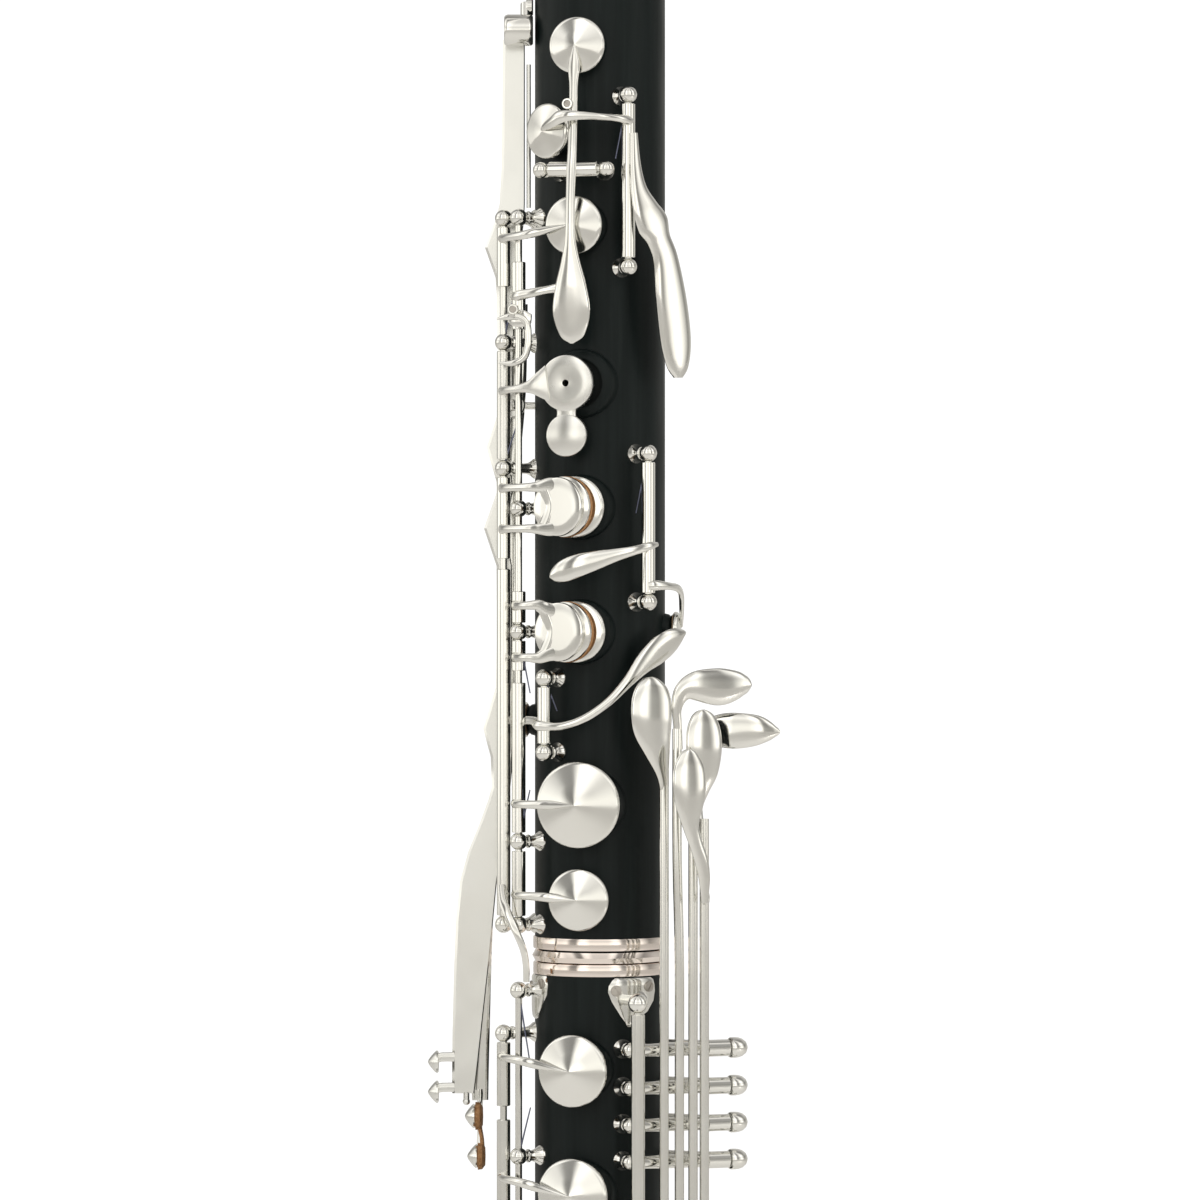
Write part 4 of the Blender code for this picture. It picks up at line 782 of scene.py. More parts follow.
def throat_keys():
    key = Piece()
    left, right = level_axis(*A_AXLE, 7.3)
    key.sleeve(left, right, 2.3)
    add_cup(key, HOLE_LINE, 1032.8, 8.3, rise=3.7)
    stem = [at(HOLE_LINE, r, z) for r, z in ((PAD_SEAT + 3.7, 1032.8), (25.6, 1027), (25.9, 1021),
        (26.2, 1014), (27.0, 1004), (28.0, 996.8), (29.0, 988), (29.3, 979))]
    key.bar(stem, [0.2, 1.7, 1.3, 1.3, 1.35, 1.5, 1.35, 1.5], [0.4, 0.7, 0.9, 0.95, 0.9, 1.1, 0.9, 0.85], 48,
        16, 2.2, facing=out(HOLE_LINE))
    touch = [at(HOLE_LINE, r, z) for r, z in ((29.3, 981), (29.2, 976), (28.9, 970), (28.5, 963), (28.0, 956),
        (27.5, 950), (27.2, 947.4), (27.1, 946.9))]
    key.leaf(touch, [1.4, 1.7, 2.9, 4.7, 5.6, 4.1, 1.8, 0.5], 0.8, crown=0.5)
    key.done("throat_a_silver", "silver", "throat_a_key", "throat_a_key")
    pad("throat_a_pad", "throat_a_key", HOLE_LINE, 1032.8, 8.2)
    place = aligned(at(HOLE_LINE - 3.0, 25.6, 1015.6), out(HOLE_LINE))
    barrel = Piece()
    barrel.turned([(1.05, 2.5), (1.45, 2.5), (1.6, 2.3), (1.6, 0.2), (1.4, 0), (1.05, 0)], place, 40,
        ring=True)
    barrel.bar([at(HOLE_LINE - 3.0, 26.4, 1015.6), at(HOLE_LINE, 26.4, 1015.6)], [1.2, 1.3], [0.8, 0.8], 6,
        12, 3.0)
    barrel.done("throat_a_adjuster_seat", "silver", "throat_a_key")
    screw = Piece()
    screw.screw_head(place @ Matrix.Translation((0, 0, 1.7)), 1.0, 0.6, 0.22, 0.9)
    screw.done("throat_a_adjuster", "steel", "throat_a_key")

    key = Piece()
    sleeve_between(key, G_LINE, G_POSTS)
    over = trail(at, (23, 25.2, 1010.6), (18, 26.8, 1010.8), (10, 28.8, 1011.2), (-2, 30.1, 1011.6),
        (-16, 30.4, 1011.9), (-23, 29.8, 1011.6), (-29, 28.6, 1010.4), (-37, 26.6, 1009.3),
        (-42, PAD_SEAT + 3.6, 1008.5))
    key.bar(over, [0.3, 1.4, 1.1, 1.1, 1.5, 1.9, 1.7, 1.1, 0.2],
        [0.3, 1.0, 0.9, 0.9, 0.9, 0.9, 0.9, 0.8, 0.3], 60, 16, 1.7)
    web = trail(side, (9.6, 25.4, 1007.2), (10.1, 25.4, 998), (11.2, 25.2, 991), (13.2, 24.4, 985.3),
        (15.3, 23.2, 981), (17, 22.0, 976.7), (19, 20.6, 970.9), (20.6, 19.4, 959.4), (21.9, 18.0, 947.9),
        (22.4, 17.5, 940.5), (22.5, 17.4, 937.2))
    key.leaf(web, [1.3, 1.9, 2.8, 4.5, 5.4, 4.1, 4.3, 5.3, 5.3, 3.8, 1.5], 0.8, 80, facing=out(34), crown=0.5)
    add_cup(key, -42, 1008.5, 8.0, rise=3.6)
    key.done("g_sharp_silver", "silver", "throat_g_sharp_key", "throat_g_sharp_key")
    pad("g_sharp_pad", "throat_g_sharp_key", -42, 1008.5, 7.6)


def linkage():
    key = Piece()
    line_sleeve(key, INNER_LINE, 951.5, 971.0)
    tip = trail(at, (-67, 27.4, 961), (-60, 27.2, 961.2), (-50, 25.4, 961.8), (-40, 23.2, 962.6),
        (-31, 21.7, 963.2), (-27, 21.4, 963.4))
    key.bar(tip, [1.2, 1.5, 1.3, 1.2, 1.5, 1.2], [0.8, 0.9, 0.8, 0.75, 0.5, 0.35], 36, 16, 2.4)
    spade = trail(at, (-70, 28.0, 955), (-62, 28.4, 954.6), (-55, 27.4, 954.4), (-50, 26.0, 954.2))
    key.bar(spade, [1.6, 2.3, 2.5, 1.4], [0.7, 0.8, 0.7, 0.5], 24, 16, 3.0)
    link = trail(side, (-29.8, 13.4, 954.4), (-26.5, 15.6, 954.9), (-23.2, 16.4, 954.8), (-21.2, 16.6, 953.0),
        (-20.7, 16.6, 949.4), (-21.0, 16.6, 945.6), (-22.2, 16.4, 942.8), (-25.2, 15.4, 941.5),
        (-29.2, 13.2, 941.6))
    key.bar(link, [0.25, 1.0, 1.0, 1.0, 1.0, 1.0, 1.0, 0.95, 0.25],
        [0.3, 0.8, 0.8, 0.8, 0.8, 0.8, 0.8, 0.8, 0.3], 64, 14, 2.4, facing=out(0))
    collar = aligned(side(-25.2, 15.4, 957.0), out(0))
    key.turned([(1.05, 2.0), (1.4, 2.0), (1.55, 1.8), (1.55, 0.2), (1.35, 0), (1.05, 0)], collar, 36,
        ring=True)
    key.rod(side(-25.2, 16.4, 955.8), side(-25.2, 16.2, 954.6), 1.0)
    key.done("linkage_silver", "silver", "linkage_key", "linkage_key")
    screw = Piece()
    screw.screw_head(collar @ Matrix.Translation((0, 0, 1.2)), 1.0, 0.6, 0.22, 0.7)
    screw.done("linkage_adjuster", "steel", "linkage_key")


def left_index():
    key = Piece()
    line = OUTER_LINE
    sleeve_between(key, line, OUTER_POSTS[1:3])
    seat = PAD_SEAT + 0.4
    spot = HOLE_LINE - 4.2
    arm = trail(at, (line[0] - 8, 28.0, 933.6), (line[0], 29.6, 933.7), (line[0] + 12, 30.1, 933.8),
        (-52, 29.0, 934.0), (-45, 27.6, 934.4), (-39.5, 26.2, 934.9), (-34, 24.9, 935.3))
    key.bar(arm, [0.25, 1.3, 1.1, 1.15, 1.8, 3.6, 5.4], [0.3, 1.0, 0.9, 0.85, 0.8, 0.8, 0.75], 52, 16, 2.4)
    place = aligned(at(spot, seat, 935.4), out(HOLE_LINE))
    r = 8.15
    key.turned([(1.0, 2.08), (1.2, 2.12), (r * 0.6, 2.12), (r - 0.5, 2.07), (r - 0.12, 1.85), (r, 1.5),
        (r, 0.4), (r - 0.2, 0.08), (r - 0.6, 0), (1.0, 0)], place, 80, ring=True)
    r = 6.2
    low_place = aligned(at(spot, seat, 920.4), out(HOLE_LINE))
    key.turned([(0, 1.97), (r - 0.45, 1.95), (r - 0.12, 1.75), (r, 1.45), (r, 0.4), (r - 0.2, 0.08),
        (r - 0.6, 0), (0, 0)], low_place, 72)
    neck = [at(spot, seat + 1.0, z) for z in (931, 928.4, 926.9, 925.4, 923)]
    key.bar(neck, [4.8, 3.3, 2.9, 3.2, 4.2], [0.8, 0.85, 0.85, 0.85, 0.8], 28, 16, 3.0, facing=out(HOLE_LINE))
    key.turn(line, OPEN_TURN)
    key.done("left_index_silver", "brushed", "left_index_plate", "left_index_plate")
    under = Piece()
    under.turned([(1.1, 0.6), (7.4, 0.6), (7.4, -0.12), (7.1, -0.24), (1.1, -0.24)], place, 48, ring=True)
    under.turn(line, OPEN_TURN)
    under.done("left_index_pad", "pad", "left_index_plate")


def sliver():
    key = Piece()
    sleeve_between(key, SLIVER_LINE, SLIVER_POSTS)
    touch = trail(at, (-31.5, 26.6, 879.6), (-29, 27.0, 880.1), (-22, 27.6, 881.3), (-13, 28.0, 882.9),
        (-3, 28.1, 884.3), (8, 28.1, 885.8), (20, 28.3, 887.2), (30, 28.2, 888.5), (37, 27.0, 889.0))
    key.leaf(touch, [0.5, 2.0, 3.2, 3.3, 2.8, 2.0, 1.4, 1.2, 0.7], 0.75, 52, crown=0.35)
    lower = trail(at, (31, 26.8, 877.0), (36, 27.4, 877.2), (46, 27.6, 877.0), (57, 26.8, 876.4),
        (68, 25.4, 874.6), (77, 24.4, 870.6), (84, 23.9, 865.2))
    key.bar(lower, [1.2, 1.5, 1.1, 1.1, 1.1, 1.0, 0.4], [0.8, 1.0, 0.85, 0.8, 0.8, 0.75, 0.4], 44, 16, 2.2)
    add_cup(key, 84, 865.0, 4.6, rise=2.3, edge=1.6)
    key.done("sliver_silver", "silver", "sliver_key", "sliver_key")
    pad("sliver_pad", "sliver_key", 84, 865.0, 4.6)


def c_sharp():
    key = Piece()
    sleeve_between(key, C_LINE, C_POSTS)
    reach = trail(at, (-48, 25.6, 837.0), (-41, 27.2, 836.8), (-32, 27.2, 836.6), (-22.4, 26.7, 836.9),
        (-9.5, 26.1, 839.0), (5, 25.7, 843.6), (18, 25.4, 849.4), (29, 25.1, 854.4), (39, 25.3, 857.8),
        (48, 26.0, 860.4), (55, 26.8, 862.2), (60, 27.3, 863.3), (62, 27.4, 863.6))
    key.leaf(reach, [0.3, 1.5, 1.2, 1.15, 1.2, 1.3, 1.7, 2.9, 3.9, 3.9, 2.9, 1.4, 0.4], 0.9, 80, crown=0.35)
    tail = trail(at, (-41, 23.6, 837), (-50, 21.9, 837.4), (-65, 21.5, 838), (-82, 22.8, 838),
        (-100, 23.9, 838))
    key.bar(tail, [1.3, 1.2, 1.2, 1.1, 0.5], [0.8, 0.75, 0.7, 0.7, 0.4], 32, 16, 2.4)
    add_cup(key, -100, 838.0, 5.2, rise=2.2, edge=1.5)
    key.done("c_sharp_silver", "silver", "c_sharp_key", "c_sharp_key")
    pad("c_sharp_pad", "c_sharp_key", -100, 838.0, 5.2)


def bridge():
    key = Piece()
    line_sleeve(key, OUTER_LINE, OUTER_POSTS[3] + END_GAP, 882.0)
    foot = trail(side, (-28.6, 9.6, 790), (-28.0, 12.6, 785.5), (-26.4, 15.2, 781.6), (-24.2, 16.4, 777),
        (-22.2, 15.9, 772), (-21.4, 14.6, 767.5), (-21.3, 13.8, 762.5))
    key.bar(foot, [1.2, 1.3, 1.25, 1.1, 1.0, 0.95, 0.9], [0.8, 0.8, 0.75, 0.75, 0.75, 0.7, 0.7], 40, 16, 3.0,
        facing=out(0))
    key.done("bridge_silver", "silver", "bridge_key", "bridge_key")
    wad = Piece()
    wad.bar([side(-21.3, 12.9, z) for z in (766.4, 765, 763)], [0.9, 0.95, 0.9], [0.5] * 3, 8, 12, 4.0,
        facing=out(0))
    wad.done("bridge_cork", "cork", "bridge_key")


# ---------------------------------------------------------------- side trill levers

TRILL_PIVOT = (-25.5, 930.0)
SHORT_BUTTONS = ((-37.0, 721.6, 3.6), (-36.3, 709.8, 3.5))


def trill_button(piece, right, depth, height, radius):
    place = aligned(side(right, depth, height), Vector((-1, 0, 0)))
    piece.turned([(0, 2.7), (radius * 0.22, 2.45), (radius * 0.55, 1.65), (radius * 0.85, 0.75),
        (radius, 0.15), (radius * 0.97, -0.3), (radius * 0.8, -0.5), (0, -0.5)], place, 44)


def trill_hub(piece, depth, radius):
    piece.turned([(1.2, 1.7), (radius - 0.4, 1.7), (radius, 1.4), (radius, -1.4), (radius - 0.4, -1.7),
        (1.2, -1.7)], aligned(side(TRILL_PIVOT[0], depth, TRILL_PIVOT[1]), out(0)), 40, ring=True)


def trill_levers():
    pivot_x, pivot_z = TRILL_PIVOT
    depth = -4.5
    edges = ((1037, -28.4, -22.0), (1000, -28.8, -22.0), (989, -29.4, -22.0), (984.4, -30.6, -22.2),
        (976.2, -33.7, -23.2), (967.4, -30.6, -24.6), (961, -30.2, -25.0), (940, -30.0, -25.4),
        (927, -30.1, -25.6), (917.6, -33.2, -27.4), (907.6, -30.3, -25.6), (904.4, -30.3, -25.6),
        (894.0, -34.0, -27.6), (883.0, -30.3, -25.8), (862, -30.2, -25.8), (847.5, -30.5, -26.0),
        (835.3, -34.2, -27.8), (827, -32.0, -26.6), (818.3, -31.7, -26.4), (814.5, -32.7, -26.6),
        (807.2, -35.4, -27.6), (799.3, -38.6, -29.0), (790.6, -41.0, -30.2), (780, -42.1, -31.2),
        (765.9, -42.7, -32.6), (746, -43.2, -34.8), (736, -43.3, -35.9), (728.6, -43.3, -36.8))
    piece = Piece()
    rings = []
    thick, edge = 0.8, 0.75
    for z, left, right in edges:
        shape = ((left, 0.15), (left + edge, thick), (right - 0.3, thick), (right, thick - 0.3),
            (right, 0.3 - thick), (right - 0.3, -thick), (left + edge, -thick), (left, -0.15))
        rings.append([side(u, depth + v, z) for u, v in shape])
    piece.sections(rings)
    piece.bar([side(-20.9, depth - 2.2, z) for z in (1030, 1010, 988)], [0.65] * 3, [0.5] * 3, 8, 12, 5.0,
        facing=out(0))
    for height, low in ((739.2, 737.8), (730.3, 729.0)):
        points = trail(side, (-41.5, depth, height), (-44.5, depth, height), (-46.6, depth, height - 0.1),
            (-47.8, depth, height - 0.6))
        piece.bar(points, [1.45, 1.35, 1.35, 1.2], [0.8] * 4, 20, 14, 4.0, up=Vector((0, 0, 1)))
        trill_button(piece, -47.7, depth, low, 3.3)
    piece.rod(side(-39.1, depth + 0.2, 729), side(-39.1, depth + 0.2, 726.4), 0.9)
    piece.ball(side(-39.1, depth + 0.2, 726.2), 1.1, 20)
    trill_hub(piece, depth, 3.6)
    piece.done("trill_long_silver", "satin", "trill_lever_long", "trill_lever_long", sharp=25)

    depth = -11.0
    spots = ((-24.0, 960, 2.8), (-24.4, 945, 3.0), (-25.0, 930, 3.0), (-26.5, 900, 2.2), (-26.5, 850, 2.2),
        (-29.0, 815, 2.4), (-34.0, 785, 3.0), (-35.4, 745, 3.0), (-35.2, 726, 2.4))
    piece = Piece()
    count = 40
    points = smooth([side(x, depth, z) for x, z, _ in spots], count)
    halves = smooth([w for _, _, w in spots], count)
    piece.bar(points, halves, [0.8] * count, count, 12, 5.0, facing=out(0))
    for x, low, radius in SHORT_BUTTONS:
        arm = trail(side, (-35.2, depth, 729), (-35.3, depth + 1.2, (729 + low) / 2),
            (x + 0.9, depth + 3, low + 2.2), (x + 0.6, depth + 3, low))
        piece.bar(arm, [1.2, 1.0, 1.0, 0.8], [0.9, 0.8, 0.8, 0.6], 24, 12, 2.4, facing=out(-90))
        trill_button(piece, x, depth + 3, low, radius)
    trill_hub(piece, depth, 3.4)
    piece.done("trill_short_silver", "silver", "trill_lever_short", "trill_lever_short")
    corks = Piece()
    for x, low, radius in SHORT_BUTTONS:
        place = aligned(side(x + 0.45, depth + 3, low), Vector((1, 0, 0)))
        corks.turned([(0, 2.3), (radius * 0.75, 2.2), (radius * 1.1, 1.3), (radius * 1.15, 0), (0, 0)], place,
            32)
    corks.bar(trail(side, (-35.4, depth + 3, 718.6), (-34.6, depth + 3, 714.6), (-34.5, depth + 3, 710.4),
        (-35.3, depth + 3, 706.6)), [1.6, 1.5, 1.5, 1.0], [0.7, 0.6, 0.6, 0.5], 20, 12, 3.0, facing=out(-90))
    corks.done("trill_short_corks", "cork", "trill_lever_short")

    pin = Piece()
    front = side(pivot_x, -1.1, pivot_z)
    pin.rod(front, side(pivot_x, -16.4, pivot_z), 1.0)
    pin.rod(side(pivot_x, -7.8, pivot_z), side(-18.0, -7.8, pivot_z), 1.1)
    pin.turned([(0, 1.2), (1.4, 1.2), (2.2, 0.5), (2.2, 0), (0, 0)],
        aligned(side(-17.6, -7.8, pivot_z), Vector((-1, 0, 0))), 28)
    pin.ball(front, 1.7)
    pin.done("trill_pin_silver", "silver", ROOT, "trill_posts")
    guide = Piece()
    guide.turned([(0, 8.4), (4.0, 8.4), (4.5, 7.9), (4.6, 7.2), (4.6, 1.0), (4.3, 0.3), (3.9, 0), (0, 0)],
        aligned(side(-27.9, 3.6, 1039), Vector((1, 0, 0))), 48)
    guide.rod(side(-21.6, 3.4, 1041), side(-21.6, 0.9, 1047), 1.6)
    guide.turned([(0, 2.0), (2.2, 2.0), (2.6, 1.6), (2.6, 0.3), (2.3, 0), (0, 0)],
        aligned(side(-21.5, 1.0, 1046), Vector((1, 0, 0))), 32)
    guide.done("trill_guide_silver", "silver", ROOT, "trill_guide")


# ---------------------------------------------------------------- left little finger levers

def long_lever(number, touches, extra=None):
    place, axle = LEVER_PLACES[number - 1], AXLE_HEIGHTS[number - 1]
    top = (830.0, 836.0, 820.0, 810.0)[number - 1]
    foot = 600.0 + (4 - number) * 12.0
    lean = -0.7 if number == 2 else 0.0
    points = [rack(LEVER_OFFSET, place + (lean if z > 780 else 0), z)
        for z in (top, 800, 770, 735, 700, 660, foot)]
    piece = Piece()
    piece.bar(points, [1.4] * 7, [1.15] * 7, 24, 20, 2.0, facing=out(RACK_ANGLE))
    piece.sleeve(rack(AXLE_OFFSET, 2.7, axle), rack(AXLE_OFFSET, 23.0, axle))
    piece.bar(trail(rack, (AXLE_OFFSET + 1.2, place, axle), (AXLE_OFFSET + 3.2, place, axle),
        (LEVER_OFFSET, place, axle)), [1.3, 1.1, 1.5], [1.1, 1.0, 1.3], 14, 14, 2.6, up=Vector((0, 0, 1)))
    for points, widths, crown in touches:
        piece.leaf([rack(*p) for p in points], widths, 0.8, 44, facing=out(RACK_ANGLE), crown=crown)
    if extra:
        extra(piece)
    body = f"left_little_lever_{number}"
    piece.done(f"little_lever_{number}_silver", "silver", body, body)


def little_finger_levers():
    long_lever(1, [(((31, 8.3, 816), (31.1, 8.2, 820), (31.3, 7.5, 824), (31.5, 6.0, 829.8),
        (31.7, 4.6, 835.4), (31.8, 4.1, 840), (31.7, 4.2, 845), (31.4, 4.5, 848.8), (31.2, 4.8, 850.8)),
        [1.2, 1.5, 2.2, 4.0, 5.7, 6.2, 5.9, 4.2, 0.6], 0.7)])
    long_lever(2, [(((31, 12.8, 830), (31.1, 12.4, 837), (31.2, 12.1, 842.0), (31.4, 13.8, 846.4),
        (31.7, 18.0, 848.2), (31.8, 25.0, 848.0), (31.5, 30.7, 848.5), (31.2, 33.7, 848.5),
        (31.1, 35.0, 848.4)), [1.2, 1.3, 1.6, 2.8, 4.4, 5.4, 4.1, 2.3, 0.5], 0.6)])
    long_lever(3, [(((31, 17.3, 806), (31.2, 18.1, 812), (31.7, 19.4, 817.6), (32.2, 19.9, 823),
        (32.5, 20.0, 830), (32.4, 19.9, 836), (32.2, 19.8, 839.8), (32.0, 19.8, 841.4)),
        [1.2, 1.3, 2.2, 4.4, 5.5, 5.1, 3.3, 0.5], 0.6)])

    def hook(piece):
        """The step forward to lever 4's low touch and the stem behind to its side touch."""
        piece.bar(trail(rack, (37.4, 18.2, 788), (36.4, 19.0, 786.6), (34, 20.2, 787.6), (31.2, 20.7, 789)),
            [1.2, 1.2, 1.1, 1.1], [1.0] * 4, 20, 14, 2.4, up=Vector((0, 0, 1)))
        stem = trail(rack, (31, 20.7, 803), (27, 20.9, 808), (23.4, 21.6, 816), (22.2, 22.4, 826),
            (22.6, 23.6, 832), (24.0, 25.2, 834.4))
        piece.bar(stem, [1.2, 1.2, 1.3, 1.5, 2.2, 3.4], [1.0, 0.95, 0.9, 0.9, 0.85, 0.8], 36, 16, 2.4,
            facing=out(RACK_ANGLE))

    low_touch = (((37.6, 18.2, 786.2), (37.9, 18.1, 790), (38.3, 17.8, 794), (38.7, 16.7, 798.7),
        (39.1, 14.7, 804), (39.5, 13.2, 808.8), (39.8, 12.8, 813.7), (39.9, 12.7, 819), (39.8, 12.6, 824.6),
        (39.6, 12.6, 828.2), (39.5, 12.6, 830.4)), [1.0, 1.4, 1.8, 2.1, 2.1, 2.6, 4.1, 5.0, 4.8, 3.2, 0.5],
        0.6)
    side_touch = (((22.8, 23.6, 833.6), (24.2, 25.4, 834.8), (26.4, 28.3, 835.2), (28.6, 32, 835.2),
        (30.0, 37.5, 835.3), (30.3, 41.6, 835.0), (30.3, 44.2, 834.8)), [2.4, 4.0, 5.0, 5.2, 4.4, 2.6, 0.5],
        0.5)
    long_lever(4, [low_touch, side_touch], hook)


# ---------------------------------------------------------------- lower joint keys

def lower_joint_keys():
    padded_key("right_vent_key", OUTER_LINE, 726.0, LOWER_OUTER_POSTS[0] - END_GAP, 740.5, HOLE_LINE, 737.4,
        10.5, True)
    padded_key("forked_vent_key", OUTER_LINE, 690.0, 722.0, 705.4, HOLE_LINE, 701.6, 10.7, True)
    for name, height, tubes in (("right_index_plate", 664.0, ((655.0, 680.0),)),
            ("right_middle_plate", 627.0, ((617.0, 638.0),)), ("right_ring_plate", 590.0, ((581.0, 604.0),))):
        finger_plate(name, INNER_LINE, tubes, (height + 6, height - 6), height)
    for number, height in enumerate((527.0, 460.0, 390.0), 1):
        radius = (12.6, 13.2, 13.8)[number - 1]
        name = f"low_note_key_{number}"
        key = Piece()
        line_sleeve(key, LOW_LINE, height - 24, height + 24)
        reach = [at(a, r, height) for a, r in ((54, 26.6), (48, 27.4), (38, 27.8), (26, 27.2), (12, 25.8),
            (3, 25.0), (-5, 24.5))]
        key.bar(reach, [2.0, 2.4, 2.1, 1.9, 1.7, 1.3, 0.5], [0.9, 1.1, 1.1, 1.0, 0.95, 0.8, 0.4], 44, 16, 2.2)
        tail = [at(a, r, height + z) for a, r, z in ((51, 26.2, 15.8), (56, 27.1, 16.6), (62, 27.6, 17.4),
            (67, 27.6, 18))]
        key.bar(tail, [1.4, 1.7, 2.0, 1.2], [0.8, 0.9, 0.8, 0.5], 24, 16, 2.6)
        add_cup(key, -5, height, radius)
        key.turn(LOW_LINE, -OPEN_TURN)
        key.done(name + "_silver", "silver", name, name)
        pad(name + "_pad", name, -5, height, radius, turn=(LOW_LINE, -OPEN_TURN))
    key = Piece()
    line_sleeve(key, RIGHT_LINE, RIGHT_POSTS[1] + END_GAP, RIGHT_POSTS[0] - 3.1)
    reach = [at(a, r, 640) for a, r in ((18, 31.0), (23, 31.0), (32, 28.8), (44, 25.8), (54, 24.2),
        (62, 23.3))]
    key.bar(reach, [1.3, 1.6, 1.4, 1.3, 1.1, 0.4], [0.8, 1.0, 0.9, 0.85, 0.7, 0.4], 40, 16, 2.2)
    add_cup(key, 62, 640, 6.4, seat=BODY_R + 1.5, rise=2.4, edge=1.6)
    key.done("right_side_silver", "silver", "right_side_key", "right_side_key")
    pad("right_side_pad", "right_side_key", 62, 640, 6.4, seat=BODY_R + 1.5)


def register():
    key = Piece()
    start, end = level_axis(*REGISTER_AXLE, 5.4)
    key.sleeve(start, end, 2.1)
    stem = [at(BACK, r, z) for r, z in ((24.0, 1003), (24.7, 997), (25.8, 990), (26.5, 982), (26.7, 975),
        (26.2, 964), (25.4, 953))]
    key.bar(stem, [0.4, 1.1, 1.5, 1.5, 1.8, 1.5, 1.8], [0.4, 0.7, 0.85, 0.9, 1.0, 0.9, 0.8], 40, 16, 2.2,
        facing=out(BACK))
    touch = [at(BACK, r, z) for r, z in ((25.5, 955), (25.3, 950), (25.0, 944), (24.7, 938), (24.4, 932.6),
        (24.3, 931.2))]
    key.leaf(touch, [1.7, 3.2, 4.7, 4.7, 2.6, 0.5], 0.8, crown=0.4)
    add_cup(key, BACK, 1003, 4.6, rise=2.3, edge=1.6)
    key.done("register_silver", "silver", "register_key", "register_key")
    pad("register_pad", "register_key", BACK, 1003, 4.6)


# ---------------------------------------------------------------- springs

def needle_springs():
    """Blued needle springs that run from a post along its hinge line."""
    piece = Piece()
    runs = ((OUTER_LINE, OUTER_POSTS[2], 925, -64, 26.4), (OUTER_LINE, OUTER_POSTS[1], 966, -66, 26.2),
        (INNER_LINE, INNER_POSTS[2], 846, -56, 24.4), (INNER_LINE, INNER_POSTS[3], 818, -57, 24.2),
        (G_LINE, G_POSTS[0], 1000, 11, 23.6), (SLIVER_LINE, SLIVER_POSTS[0], 898, 26, 23.6),
        (INNER_LINE, LOWER_INNER_POSTS[0], 738, -57, 24.0),
        (INNER_LINE, LOWER_INNER_POSTS[1], 726, -57, 24.0), (C_LINE, C_POSTS[0], 841, -33, 22.8),
        (INNER_LINE, LOWER_INNER_POSTS[2], 656, -57, 24.0),
        (INNER_LINE, LOWER_INNER_POSTS[3], 586, -57, 24.0))
    for line, start, end, angle, radius in runs:
        piece.bar(trail(at, (*line, start), ((line[0] + angle) / 2, (line[1] + radius) / 2,
            (start + end) / 2), (angle, radius, end)), [0.28, 0.25, 0.2], [0.28, 0.25, 0.2], 14, 8, 2.0,
            up=Vector((0, 1, 0)))
    piece.done("needle_springs", "blued", ROOT)


# ---------------------------------------------------------------- stage

def light(name, place, target, size, power, colour=(1, 1, 1)):
    data = bpy.data.lights.new(name, "AREA")
    data.shape = "RECTANGLE"
    data.size, data.size_y = size
    data.energy = power
    data.color = colour
    lamp = bpy.data.objects.new(name, data)
    lamp.location = place
    lamp.rotation_euler = (Vector(target) - Vector(place)).to_track_quat("-Z", "Y").to_euler()
    lamp.visible_camera = False
    lamp.visible_glossy = False
    bpy.context.scene.collection.objects.link(lamp)


